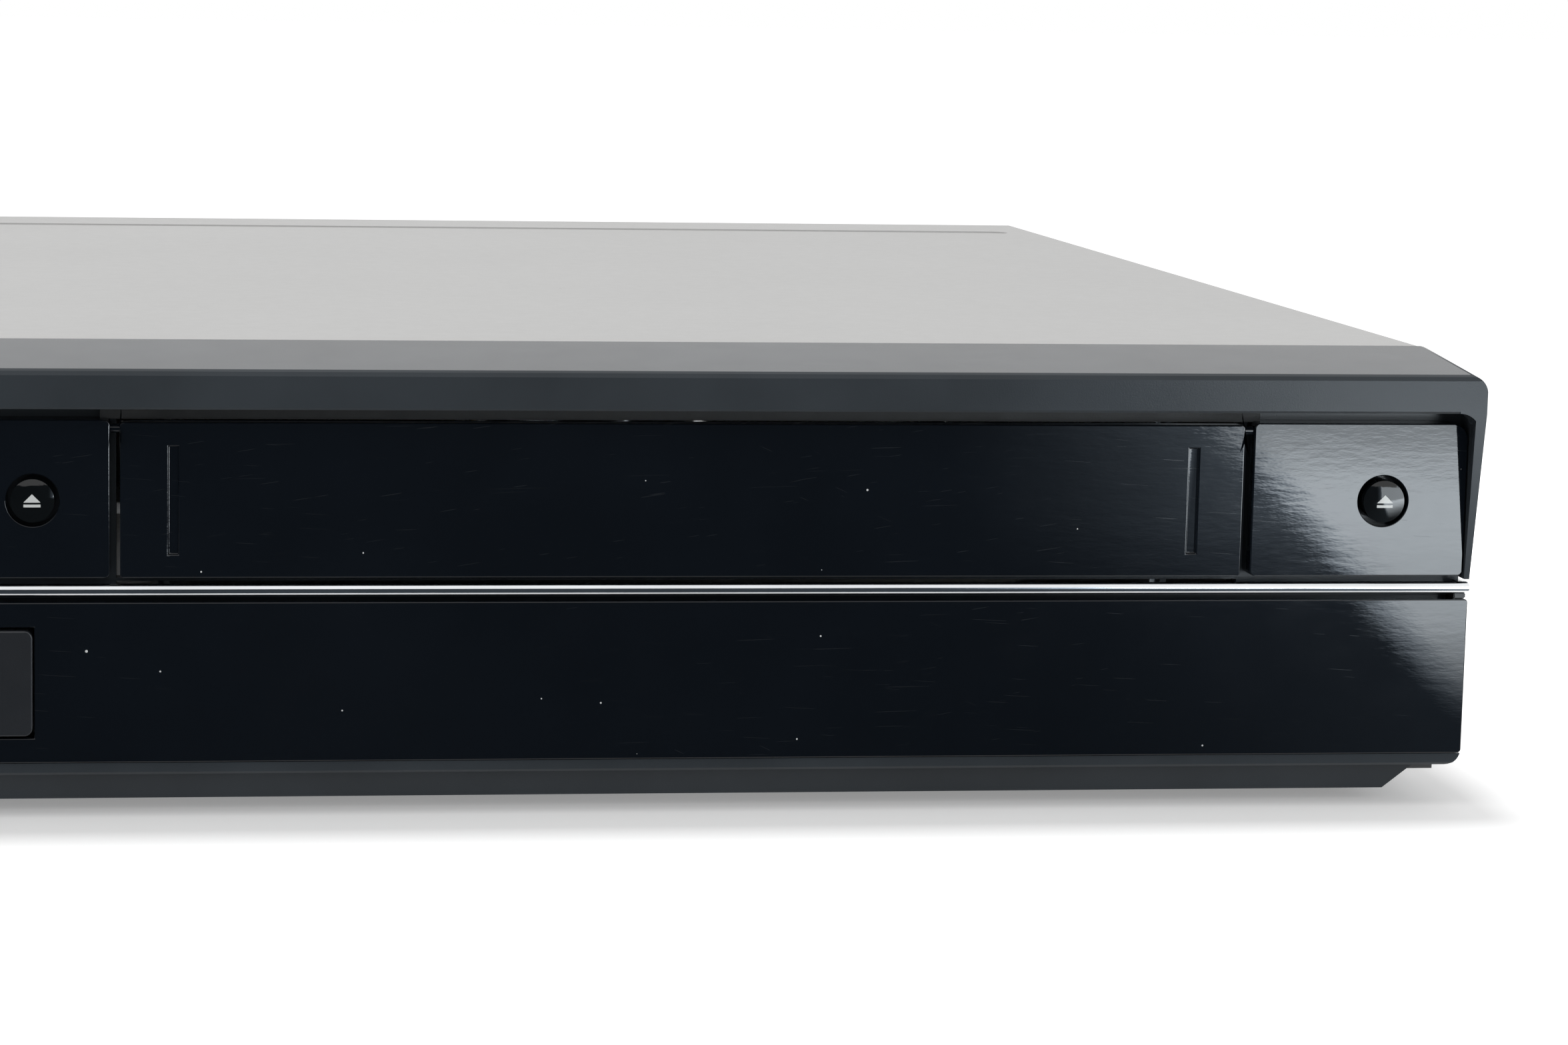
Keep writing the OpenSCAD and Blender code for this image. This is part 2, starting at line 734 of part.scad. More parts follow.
module disc_tray() placed() in_drive() color("#2e3134") {
    difference() {
        block(-tray_w / 2, tray_w / 2, tray_back, tray_y1, tray_z0, tray_z1);
        post(0, disc_y, tray_z1 - well_t, tray_z1 + 1, well_r);
        post(0, disc_y, tray_z1 - well_t - 1, tray_z1 + 1, well_small_r);
        post(0, disc_y, tray_z0 - 1, tray_z1 + 1, slot_half);
        block(-slot_half, slot_half, disc_y, tray_y1 + 1, tray_z0 - 1, tray_z1 + 1);
    }
    translate([0, 0, rack_z0]) rack(10, tray_y1);
}

module tray_front() placed() in_drive() color("#0c0e12") {
    upright(-cap_half, cap_half, cap_z0, cap_z1, 0, tray_back, [0.8, 0.8, 0.8, 0.8]);
}

module clamp_bridge() placed() in_drive() color("#c3c5c6") {
    difference() {
        block(-drive_half, drive_half, disc_y - clamp_half_y, disc_y + clamp_half_y, z_rail_top, z_rail_top + bridge_t);
        post(0, disc_y, z_rail_top - 1, z_rail_top + bridge_t + 1, 12);
    }
}

module disc_clamp() placed() in_drive() color("#d8d9d6") {
    difference() {
        union() {
            post(0, disc_y, tray_z1 + 0.35, tray_z1 + 4, 17);
            post(0, disc_y, tray_z1 + 4, z_rail_top + bridge_t + 1, 11.2);
            post(0, disc_y, z_rail_top + bridge_t + 0.3, z_rail_top + bridge_t + 2.3, 16);
        }
        post(0, disc_y, tray_z1, tray_z1 + 3, 8.5);
    }
}

module traverse() placed() in_drive() color("#8f9396") {
    top = traverse_z0 + traverse_t;
    difference() {
        union() {
            block(-traverse_half, traverse_half, traverse_y0, traverse_y1, traverse_z0, top);
            rod_along_x(-traverse_half - 6, traverse_half + 6, pivot_y, pivot_z, pivot_r);
            for (x = [-rod_x, rod_x], y = [rod_y0, rod_y1])
                block(x - 3, x + 3, y - 2, y + 2, traverse_z0, rod_z + 2.5);
        }
        for (x = [-rod_x, rod_x])
            rod_along_y(x, rod_y0 - 1, rod_y1 + 1, rod_z, rod_r);
        block(-16, 16, disc_y + 18, rod_y1 - 6, traverse_z0 - 1, top + 1);
    }
}

module guide_rods() placed() in_drive() color("#d9dcde") {
    for (x = [-rod_x, rod_x])
        rod_along_y(x, rod_y0 - 1, rod_y1 + 1, rod_z, rod_r);
}

// Spindle motor and sled motor
module traverse_motors() placed() in_drive() color("#9a9ea1") {
    difference() {
        post(0, disc_y, traverse_z0 + traverse_t, z_mid - 12.5, 13);
        post(0, disc_y, traverse_z0 + traverse_t + 0.5, z_mid, rod_r + run_c);
    }
    difference() {
        block(screw_x - 5, screw_x + 2.6, rod_y1 - 9, rod_y1 + 9, traverse_z0 + traverse_t, rod_z + 4);
        rod_along_y(screw_x, rod_y1 - 10, rod_y1 - 3, rod_z, lead_r + run_c);
    }
}

module turntable() placed() in_drive() color("#26282b") {
    post(0, disc_y, traverse_z0 + traverse_t + 0.8, z_mid - 8.5, rod_r);
    post(0, disc_y, z_mid - 12, z_mid - 8.5, platter_r);
    translate([0, disc_y, z_mid - 8.5]) cylinder(r1 = 7.4, r2 = 5.5, h = 3);
}

module optical_pickup() placed() in_drive() color("#6f757a") {
    z0 = traverse_z0 + traverse_t + 0.6;
    y0 = pickup_y - 6;
    y1 = pickup_y + 20;
    difference() {
        union() {
            block(-rod_x - 3.5, rod_x + 3.5, y0, y1, z0, rod_z + 3);
            block(screw_x - 3.6, -rod_x, y0 + 4, y1 - 4, z0, rod_z + 3);
            post(0, pickup_y, rod_z + 3, rod_z + 4.4, 4);
        }
        for (x = [-rod_x, rod_x])
            rod_along_y(x, y0 - 1, y1 + 1, rod_z, rod_r + run_c);
        rod_along_y(screw_x, y0, y1, rod_z, lead_r + run_c);
    }
}

module sled_screw() placed() in_drive() color("#c9ccce") {
    rod_along_y(screw_x, disc_y + 14, rod_y1 - 4, rod_z, lead_r);
}

module pulley(x, y, r, bore_r) translate([x, y, pulley_z0]) difference() {
    union() {
        cylinder(r = r, h = pulley_h / 4);
        cylinder(r = r - 1, h = pulley_h);
        translate([0, 0, pulley_h * 3 / 4]) cylinder(r = r, h = pulley_h / 4);
    }
    translate([0, 0, -1]) cylinder(r = bore_r, h = pulley_h + 2);
}

module tray_gear() placed() in_drive() color("#e4e2da") {
    top = tray_z0 - 0.35;
    translate([gear_x, gear_y, top - 2.8]) gear(tray_teeth, tooth_m, 2.8, pivot_r + run_c);
    pulley(gear_x, gear_y, pulley_r, pivot_r + run_c);
    translate([gear_x, gear_y, pulley_z0 + pulley_h]) difference() {
        cylinder(r = 5, h = top - 2.8 - pulley_z0 - pulley_h);
        translate([0, 0, -1]) cylinder(r = pivot_r + run_c, h = top);
    }
}

// Tray motor and threading motor
module gear_motors() placed() color("#9a9ea1") {
    in_drive() difference() {
        post(motor_dx, motor_y, z_drive - 20, z_drive, 10);
        post(motor_dx, motor_y, z_drive - 12, z_drive + 1, motor_shaft_r + run_c);
    }
    difference() {
        post(cam_x - load_gap, cam_y, deck_z - 9.5, deck_z, 9);
        post(cam_x - load_gap, cam_y, deck_z - 7, deck_z + 1, motor_shaft_r + run_c);
    }
}

module motor_pulley() placed() in_drive() color("#e4e2da") {
    post(motor_dx, motor_y, z_drive - 11, pulley_z0 + pulley_h, motor_shaft_r);
    pulley(motor_dx, motor_y, pulley_small_r, motor_shaft_r - 0.1);
}

// Round loop over two rims of radius ra at the origin and rb at distance d along X
module loop(ra, rb, d) {
    a = acos((ra - rb) / d);
    circle(ra);
    translate([d, 0]) circle(rb);
    polygon([
        ra * [cos(a), sin(a)], ra * [cos(a), -sin(a)],
        [d + rb * cos(a), -rb * sin(a)], [d + rb * cos(a), rb * sin(a)]
    ]);
}

module tray_belt() placed() in_drive() color("#171717") {
    dx = motor_dx - gear_x;
    dy = motor_y - gear_y;
    inner = pulley_r - 1 + slide_c;
    inner_small = pulley_small_r - 1 + slide_c;
    translate([gear_x, gear_y, pulley_z0 + pulley_h / 4 + slide_c]) rotate([0, 0, atan2(dy, dx)])
        linear_extrude(pulley_h / 2 - 2 * slide_c) difference() {
            loop(inner + belt_t, inner_small + belt_t, norm([dx, dy]));
            loop(inner, inner_small, norm([dx, dy]));
        }
}

// ---------------------------------------------------------------- tape deck

module deck_plate() placed() in_deck() color("#b4b8ba") {
    difference() {
        union() {
            block(-frame_half, frame_half, deck_y0, deck_y1, deck_z, z_deck);
            mirrored_x() block(frame_half - frame_t, frame_half, holder_y0, holder_y1 + 8.5, z_deck,
                z_door_top + 2);
            for (s = [-1, 1])
                post(s * reel_dx, reel_y, z_deck, z_deck + 10, pinch_post_r);
            post(capstan_x - door_x + pinch_dx, capstan_y + pinch_dy, z_deck, pinch_z - 0.3, 3.5);
            post(capstan_x - door_x + pinch_dx, capstan_y + pinch_dy, z_deck, pinch_z + 5, pinch_post_r);
            post(cam_x - door_x, cam_y, z_deck, z_deck + 7, pinch_post_r);
        }
        for (y = holder_pin_ys)
            mirrored_x() block(frame_half - frame_t - 1, frame_half + 1, y - holder_pin_r - slide_c,
                y + holder_pin_r + slide_c, holder_pin_z - holder_drop - 3, holder_pin_z + 3);
        for (s = [-1, 1])
            block(s * guide_dx - 2.5, s * guide_dx + 2.5, guide_y - 5, guide_y + guide_travel + 5, deck_z - 1, z_deck + 1);
        post(capstan_x - door_x, capstan_y, deck_z - 1, z_deck + 1, 3);
        post(cam_x - door_x - load_gap, cam_y, deck_z - 1, z_deck + 1, 2);
    }
}

module tilted_drum(z0, z1, r)
    translate([0, drum_y, drum_z]) rotate([-drum_tilt, 0, 0]) translate([0, 0, z0]) cylinder(r = r, h = z1 - z0);

module lower_drum() placed() in_deck() color("#c8ccce") {
    difference() {
        union() {
            tilted_drum(0, drum_low_h, drum_r);
            block(-16, 16, drum_y - 22, drum_y + 26, z_deck, drum_z + 6);
        }
        tilted_drum(4, drum_low_h + 1, 3 + run_c);
    }
}

module upper_drum() placed() in_deck() color("#e2e5e6") {
    difference() {
        union() {
            tilted_drum(drum_low_h + 0.3, drum_low_h + drum_up_h, drum_r);
            tilted_drum(5, drum_low_h + 2, 3);
        }
        tilted_drum(drum_low_h + drum_up_h - 2, drum_low_h + drum_up_h + 1, drum_r * 0.45);
    }
}

module capstan_housing() placed() color("#8f9396") {
    difference() {
        union() {
            post(capstan_x, capstan_y, z_deck, z_deck + 2, 9);
            post(capstan_x, capstan_y, z_deck, z_deck + 14, 5);
        }
        post(capstan_x, capstan_y, z_deck - 1, z_deck + 15, capstan_r + run_c);
    }
}

module capstan() placed() color("#b08d57") {
    post(capstan_x, capstan_y, flywheel_z, z_deck + 31, capstan_r);
    post(capstan_x, capstan_y, flywheel_z, flywheel_z + flywheel_t, flywheel_r);
}

module reel(s) placed() in_deck() translate([s * reel_dx, reel_y, z_deck + slide_c]) difference() {
    union() {
        cylinder(r = reel_r, h = 2.6);
        cylinder(r = 7.5, h = 14);
        for (a = [0, 120, 240])
            rotate([0, 0, a]) translate([6.5, -1, 2]) cube([3.5, 2, 10]);
    }
    translate([0, 0, -1]) cylinder(r = pinch_post_r + run_c, h = 12);
}

module supply_reel() color("#d9d9d4") reel(-1);
module takeup_reel() color("#d9d9d4") reel(1);

module tape_guide(s) placed() in_deck() translate([s * guide_dx, guide_y, 0]) {
    block(-6, 6, -6, 6, z_deck + slide_c, z_deck + 3);
    block(-2.2, 2.2, -4, 4, deck_z - slide_c - 0.2, z_deck + slide_c);
    block(-4.5, 4.5, -4, 4, deck_z - slide_c - 1.5, deck_z - slide_c);
    post(0, 0, z_deck + 3, z_deck + 29, 2);
    post(0, 0, z_deck + 7, z_deck + 25, 3.5);
}

module supply_guide() color("#cfd2d3") tape_guide(-1);
module takeup_guide() color("#cfd2d3") tape_guide(1);

module tape_heads() placed() in_deck() color("#7d8286") {
    for (p = [[-guide_dx - 20, guide_y + 20], [guide_dx + 14, guide_y + 34]]) {
        block(p[0] - 5, p[0] + 5, p[1] - 5, p[1] + 5, z_deck, z_deck + 6);
        block(p[0] - 3.5, p[0] + 3.5, p[1] - 4, p[1] + 4, z_deck + 6, z_deck + 25);
    }
}

// Drawn swung away from the capstan
module in_pinch() translate([capstan_x + pinch_dx, capstan_y + pinch_dy, 0]) rotate([0, 0, pinch_turn]) children();

pinch_reach = [capstan_r + pinch_r + slide_c - pinch_dx, -pinch_dy];

module pinch_arm() placed() in_pinch() color("#a9adaf") {
    length = norm(pinch_reach);
    difference() {
        union() {
            cylinder_arm(length);
            translate([pinch_reach[0], pinch_reach[1], pinch_z - 17]) cylinder(r = 1.5, h = 18);
        }
        post(0, 0, pinch_z - 1, pinch_z + 8, pinch_post_r + run_c);
    }
}

module cylinder_arm(length) {
    post(0, 0, pinch_z, pinch_z + 4, 5);
    post(pinch_reach[0], pinch_reach[1], pinch_z, pinch_z + 2, 4);
    rotate([0, 0, atan2(pinch_reach[1], pinch_reach[0])]) block(0, length, -3, 3, pinch_z, pinch_z + 2);
}

module pinch_roller() placed() in_pinch() color("#1e1e1f") {
    translate([pinch_reach[0], pinch_reach[1], pinch_z - 16]) difference() {
        cylinder(r = pinch_r, h = 15.5);
        translate([0, 0, -1]) cylinder(r = 1.5 + run_c, h = 20);
    }
}

module cassette_holder() placed() in_deck() color("#a9adaf") {
    half = holder_half + holder_t;
    top = z_tape + tape_h + 1;
    difference() {
        block(-half, half, holder_y0, holder_y1, z_tape - holder_t, top + holder_t);
        block(-holder_half, holder_half, holder_y0 - 1, holder_y1 + 1, z_tape, top);
        block(12 - holder_half, holder_half - 12, holder_y0 - 1, holder_y1 + 1, z_tape - 2, z_tape + 1);
        block(30 - holder_half, holder_half - 30, holder_y0 + 25, holder_y1 - 25, top - 1, top + 2);
    }
    for (y = holder_pin_ys)
        mirrored_x() rod_along_x(half, frame_half + 0.8, y, holder_pin_z, holder_pin_r);
}

module loading_pinion() placed() color("#e4e2da") {
    post(cam_x - load_gap, cam_y, deck_z - 6, z_deck + 4, motor_shaft_r);
    translate([cam_x - load_gap, cam_y, z_deck + 1]) gear(pinion_teeth, load_m, 4, motor_shaft_r - 0.1);
}

module cam_gear() placed() color("#e4e2da") {
    translate([cam_x, cam_y, z_deck + slide_c]) difference() {
        union() {
            translate([0, 0, 0.5]) rotate([0, 0, 180 + 180 / cam_teeth])
                gear(cam_teeth, load_m, 4, pinch_post_r + run_c);
            cylinder(r = 5, h = 6.5);
        }
        translate([0, 0, -1]) cylinder(r = pinch_post_r + run_c, h = 9);
    }
}

// ---------------------------------------------------------------- electronics and hardware

module main_board() placed() color("#1d5b35") {
    block(main_x0, main_x1, main_y0, main_y1, z_board, z_board + board_t);
    z = z_board + board_t;
    for (p = [[20, 26, 24, 3], [60, 32, 18, 2.5], [98, 22, 14, 2.5], [210, 26, 20, 3]])
        translate([main_x0 + p[0] - p[2] / 2, main_y0 + p[1] - p[2] / 2, z]) cube([p[2], p[2], p[3]]);
    block(tuner_x - 32, tuner_x + 22, main_y0 + 10, rear_y - 46 - 10, z, z + 12);
    for (i = [0:4])
        post(main_x0 + 12 + i * 9, main_y1 - 35, z, z + 11, 3);
    difference() {
        union() {
            block(tuner_x - 14, tuner_x + 40, rear_y - 46, rear_y, z, z_board + 30);
            for (x = [tuner_x, tuner_x + 26]) {
                rod_along_y(x, rear_y, rear_y + collar_out, stud_z, stud_r + 0.25);
                rod_along_y(x, rear_y, rear_y + jack_out + 2 * sheet_t, stud_z, stud_r);
            }
        }
        for (x = [tuner_x, tuner_x + 26])
            rod_along_y(x, rear_y + 3, rear_y + jack_out + 3, stud_z, 1);
    }
}

module power_board() placed() color("#8a6a34") {
    z = z_board + board_t;
    block(power_x0, power_x1, power_y0, main_y1, z_board, z);
    for (s = [-1, 1])
        post(core_x - 44, core_y - 2 + 12 * s, z, z + 26, 9);
    for (i = [0:2])
        post(power_x1 - 12 - i * 14, main_y1 - 50 + i * 13.5, z, z + 18, 5);
    block(power_x0 + 16, power_x0 + 36, power_y0 + 17, power_y0 + 21, z, z + 32);
    for (i = [0:4])
        block(power_x0 + 16 + i * 4.5, power_x0 + 18 + i * 4.5, power_y0 + 21, power_y0 + 33, z, z + 32);
}

module transformer() placed() color("#55585c") {
    z = z_board + board_t;
    block(core_x - 22, core_x + 22, core_y - 18, core_y + 18, z, z + 30);
    block(core_x - 28, core_x + 28, core_y - 12, core_y + 12, z, z + 22);
}

module mains_inlet() placed() color("#1c1c1e") {
    difference() {
        union() {
            block(inlet_x - inlet_half, inlet_x + inlet_half, rear_y - 20, rear_y, z_board + board_t,
                inlet_z + 9.6);
            block(inlet_x - inlet_half, inlet_x + inlet_half, rear_y, rear_y + 2.5, inlet_z - 9.6, inlet_z + 9.6);
        }
        inlet_recess();
    }
    for (s = [-1, 1])
        rod_along_y(inlet_x + s * inlet_h / 2, rear_y - 12, rear_y + 1, inlet_z, 1.2);
}

module inlet_recess() {
    r = inlet_h / 2;
    d = inlet_w / 2 - r;
    block(inlet_x - d, inlet_x + d, rear_y - 12, rear_y + 3, inlet_z - r, inlet_z + r);
    for (s = [-1, 1])
        rod_along_y(inlet_x + s * d, rear_y - 12, rear_y + 3, inlet_z, r);
}

module rear_jacks() placed() color("#c9b24a") {
    x1 = phono_x0 + 4 * phono_pitch;
    difference() {
        union() {
            block(phono_x0 - 8, x1 + 8, rear_y - 14, rear_y, z_board + board_t, phono_zs[1] + 8);
            for (i = [0:4], z = phono_zs) {
                rod_along_y(phono_x0 + i * phono_pitch, rear_y, rear_y + collar_out, z, jack_hole_r - 0.1);
                rod_along_y(phono_x0 + i * phono_pitch, rear_y, rear_y + jack_out, z, jack_r);
            }
        }
        for (i = [0:4], z = phono_zs)
            rod_along_y(phono_x0 + i * phono_pitch, rear_y - 1, rear_y + jack_out + 1, z, jack_bore_r);
    }
}

module feet() placed() color("#1b1b1c") {
    for (x = [-foot_x, foot_x], y = foot_ys) {
        post(x, y, 0, foot_h, foot_r);
        post(x, y, foot_h, z_in + 1.5, foot_peg_r);
    }
}

module screws() placed() color("#6d7174") {
    for (y = side_screw_y)
        mirrored_x() {
            rod_along_x(chassis_half - 5, cover_half, y, screw_z, screw_r);
            rod_along_x(cover_half, cover_half + screw_head_t, y, screw_z, screw_head_r);
        }
    for (x = rear_screw_x) {
        rod_along_y(x, case_d - 7, case_d, rear_screw_z, screw_r);
        rod_along_y(x, case_d, case_d + screw_head_t, rear_screw_z, screw_head_r);
    }
}

// ---------------------------------------------------------------- sub-parts

chassis_base();
rear_panel();
top_cover();
front_bezel();
left_fascia();
right_fascia();
chrome_strip();
lower_fascia();
vcr_door();
eject_button();
power_button();
open_button();
rewind_key();
play_key();
forward_key();
stop_key();
record_key();
channel_rocker();
front_boards();
key_switches();
display_module();
front_jacks();
drive_frame();
disc_tray();
tray_front();
clamp_bridge();
disc_clamp();
traverse();
traverse_motors();
turntable();
optical_pickup();
guide_rods();
sled_screw();
tray_gear();
gear_motors();
motor_pulley();
tray_belt();
deck_plate();
lower_drum();
upper_drum();
capstan_housing();
capstan();
supply_reel();
takeup_reel();
supply_guide();
takeup_guide();
tape_heads();
pinch_arm();
pinch_roller();
cassette_holder();
loading_pinion();
cam_gear();
board_spacers();
main_board();
power_board();
transformer();
mains_inlet();
rear_jacks();
feet();
screws();
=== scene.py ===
"""The dress of a disc and cassette player: its finishes, its fine pieces, the light and the camera."""

import json
import logging
import math
from dataclasses import dataclass, field
from enum import Enum

import bmesh
import bpy
from mathutils import Matrix, Vector

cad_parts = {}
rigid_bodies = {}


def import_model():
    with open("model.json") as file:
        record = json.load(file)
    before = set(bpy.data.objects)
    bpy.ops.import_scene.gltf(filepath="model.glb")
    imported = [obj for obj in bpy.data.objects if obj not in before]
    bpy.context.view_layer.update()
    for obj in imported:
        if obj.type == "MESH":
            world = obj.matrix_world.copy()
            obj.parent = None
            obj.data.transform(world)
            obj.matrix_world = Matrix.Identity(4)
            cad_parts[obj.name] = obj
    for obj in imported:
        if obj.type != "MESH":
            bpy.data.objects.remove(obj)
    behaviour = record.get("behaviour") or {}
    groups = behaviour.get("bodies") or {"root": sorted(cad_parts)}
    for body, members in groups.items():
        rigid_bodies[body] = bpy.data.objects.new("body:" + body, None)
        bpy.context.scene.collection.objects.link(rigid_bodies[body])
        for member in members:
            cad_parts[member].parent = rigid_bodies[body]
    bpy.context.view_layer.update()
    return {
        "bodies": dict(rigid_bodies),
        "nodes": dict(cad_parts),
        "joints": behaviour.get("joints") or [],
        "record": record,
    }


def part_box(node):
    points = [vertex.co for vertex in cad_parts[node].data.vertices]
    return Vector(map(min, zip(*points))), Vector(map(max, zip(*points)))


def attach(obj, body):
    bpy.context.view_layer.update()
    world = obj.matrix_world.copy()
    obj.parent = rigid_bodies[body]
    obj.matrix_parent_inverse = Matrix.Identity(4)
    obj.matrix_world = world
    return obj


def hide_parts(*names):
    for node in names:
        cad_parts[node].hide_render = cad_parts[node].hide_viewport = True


LOG = logging.getLogger("player")
MM = 0.001
UM = 0.000001
WELD = 0.002 * MM  # points nearer to each other than this become one
FLAT = 0.5  # faces that turn by less than this, in degrees, become one
CORNER = 32.0  # an edge of the housing that turns by more than this, in degrees, is sharp

Colour = tuple[float, float, float]
Point = tuple[float, float, float]
Pair = tuple[float, float]
Span = tuple[float, float, float, float]  # where a change starts and ends, and the level before and after it
Ring = tuple[float, float, float, float]  # the bore, the rim, and the lowest and highest level
Socket = bpy.types.NodeSocket
Material = bpy.types.Material
Piece = bpy.types.Object
Shape = bmesh.types.BMesh
Vert = bmesh.types.BMVert


def rgba(colour: Colour) -> tuple[float, float, float, float]:
    """A colour with full opacity."""
    return (*colour, 1.0)


def grey(level: float) -> Colour:
    """A neutral colour of one level."""
    return (level, level, level)


def tinted(colour: Colour, factor: float, plus: float = 0.0) -> Colour:
    """A colour made darker or lighter, and never more than white."""
    return tuple(min(1.0, c * factor + plus) for c in colour)


class Wiring:
    """A node tree under construction."""

    def __init__(self, tree: bpy.types.NodeTree) -> None:
        """Takes up a tree."""
        self.tree = tree

    def node(self, kind: str, inputs: dict[str | int, object] | None = None, **fields: object) -> bpy.types.Node:
        """Adds a node.

        Args:
            kind: The node's type.
            inputs: Values, or sources, by the input's name or number.
            **fields: The node's own fields.

        Returns:
            The new node.
        """
        node = self.tree.nodes.new(kind)
        for name, value in fields.items():
            setattr(node, name, value)
        for key, value in (inputs or {}).items():
            if isinstance(value, Socket):
                self.tree.links.new(value, node.inputs[key])
            else:
                node.inputs[key].default_value = value
        return node

    def ramp(
        self, source: Socket, low: float, high: float, to_low: float = 0.0, to_high: float = 1.0
    ) -> Socket:
        """Stretches the part of a pattern between low and high to run from to_low to to_high, and clamps it."""
        values = {"Value": source, "From Min": low, "From Max": high, "To Min": to_low, "To Max": to_high}
        return self.node("ShaderNodeMapRange", values).outputs[0]

    def calc(self, operation: str, a: Socket | float, b: Socket | float = 0.0) -> Socket:
        """One sum on two patterns, or on a pattern and a number."""
        return self.node("ShaderNodeMath", {0: a, 1: b}, operation=operation).outputs[0]

    def seen_or_mirrored(self) -> Socket:
        """A switch on the kind of ray.

        Returns:
            One on a ray from the camera, a mirror or glass, and zero on other rays.
        """
        rays = self.node("ShaderNodeLightPath").outputs
        seen = self.calc("MAXIMUM", rays["Is Camera Ray"], rays["Is Glossy Ray"])
        return self.calc("MAXIMUM", seen, rays["Is Transmission Ray"])


class Shader(Wiring):
    """A material under construction, with one principled surface at its end."""

    def __init__(self, name: str, colour: Colour, roughness: float, metallic: float = 0.0) -> None:
        """Starts the material with values that are the same all over.

        Args:
            name: The material's name.
            colour: The base colour, linear.
            roughness: The surface's roughness.
            metallic: One for bare metal.
        """
        self.material = bpy.data.materials.new(name)
        self.material.use_nodes = True
        self.material.diffuse_color = rgba(colour)
        super().__init__(self.material.node_tree)
        self.tree.nodes.clear()
        self.surface = self.node("ShaderNodeBsdfPrincipled")
        self.end = self.node("ShaderNodeOutputMaterial", {"Surface": self.surface.outputs[0]})
        self.set("Base Color", rgba(colour))
        self.set("Roughness", roughness)
        self.set("Metallic", metallic)
        self.place = self.node("ShaderNodeTexCoord").outputs["Object"]

    def set(self, socket: str, value: object) -> None:
        """Sets a value that is the same all over on the surface's own socket."""
        self.surface.inputs[socket].default_value = value

    def feed(self, socket: str, source: Socket) -> None:
        """Drives a socket of the surface with a pattern."""
        self.tree.links.new(source, self.surface.inputs[socket])

    def end_in(self, source: Socket) -> None:
        """Ends the material in another surface than the principled one."""
        self.tree.nodes.remove(self.surface)
        self.tree.links.new(source, self.end.inputs["Surface"])

    def moved(self, scale: Point = (1, 1, 1), turn: Point = (0, 0, 0), shift: Point = (0, 0, 0)) -> Socket:
        """The object's own coordinates, changed.

        Args:
            scale: The stretch.
            turn: The turn, in degrees.
            shift: The shift, in metres.

        Returns:
            The coordinates.
        """
        angles = tuple(math.radians(a) for a in turn)
        values = {"Vector": self.place, "Scale": scale, "Rotation": angles, "Location": shift}
        return self.node("ShaderNodeMapping", values).outputs[0]

    def noise(self, scale: float, detail: float = 2.0, rough: float = 0.5, at: Socket | None = None) -> Socket:
        """A cloud pattern between 0 and 1, with scale in cycles a metre."""
        values = {"Vector": at or self.place, "Scale": scale, "Detail": detail, "Roughness": rough}
        return self.node("ShaderNodeTexNoise", values).outputs[0]

    def blend(self, share: Socket, low: Colour | Socket, high: Colour | Socket) -> Socket:
        """A colour that goes from one to another.

        Args:
            share: The pattern, from 0 to 1.
            low: The colour at zero.
            high: The colour at one.

        Returns:
            The colour.
        """
        values = {0: share}
        for key, colour in ((6, low), (7, high)):
            values[key] = colour if isinstance(colour, Socket) else rgba(colour)
        return self.node("ShaderNodeMix", values, data_type="RGBA").outputs[2]

    def bricks(self, turn: Point, base: Colour, other: Colour, joint: Colour, **sizes: float) -> Socket:
        """Rows of bricks and the lines between them.

        Args:
            turn: The turn of the rows, in degrees.
            base: The colour of the first kind of brick.
            other: The colour of the second kind.
            joint: The colour of the lines.
            **sizes: The node's own sizes, with _ for a space.

        Returns:
            The colour.
        """
        values = {"Vector": self.moved(turn=turn), "Color1": rgba(base), "Color2": rgba(other), "Mortar": rgba(joint)}
        values.update({name.replace("_", " "): size for name, size in sizes.items()})
        return self.node("ShaderNodeTexBrick", values).outputs["Color"]

    def specks(self, size: float, radius: float, share: float, seed: float = 0.0) -> Socket:
        """Lone specks of dust.

        Args:
            size: The cell that may hold one speck, in metres.
            radius: The speck's radius as a share of its cell.
            share: The share of cells that hold one.
            seed: Shifts the pattern.

        Returns:
            A pattern that is one on a speck and zero beside it.
        """
        at = self.moved(shift=(seed, seed * 0.7, seed * 1.3))
        cells = self.node("ShaderNodeTexVoronoi", {"Vector": at, "Scale": 1.0 / size})
        chance = self.node("ShaderNodeSeparateColor", {0: cells.outputs["Color"]})
        here = self.calc("LESS_THAN", chance.outputs[0], share)
        width = self.calc("MULTIPLY", chance.outputs[1], radius)
        dot = self.calc("LESS_THAN", cells.outputs["Distance"], width)
        return self.calc("MULTIPLY", here, dot)

    def scratches(self, turn: float, length: float, width: float, share: float, seed: float) -> Socket:
        """Fine straight scratches in the plane that faces the front.

        Args:
            turn: Their lean from level, in degrees.
            length: Their usual length, in metres.
            width: Their spacing across, in metres.
            share: How many show, from 0 to 1.
            seed: Shifts the pattern.

        Returns:
            A pattern that is one in a scratch and zero beside it.
        """
        turned = self.moved(turn=(0, turn, 0), shift=(seed, 0, seed))
        at = self.node("ShaderNodeMapping", {"Vector": turned, "Scale": (1 / length, 1, 1 / width)}).outputs[0]
        streak = self.noise(1.0, detail=1.0, rough=0.4, at=at)
        gate = self.noise(9.0, detail=1.0, rough=0.5, at=self.moved(shift=(seed * 2, seed, 0)))
        fine = self.ramp(streak, 0.79 - 0.09 * share, 0.81 - 0.09 * share)
        return self.calc("MULTIPLY", fine, self.ramp(gate, 0.5, 0.6))

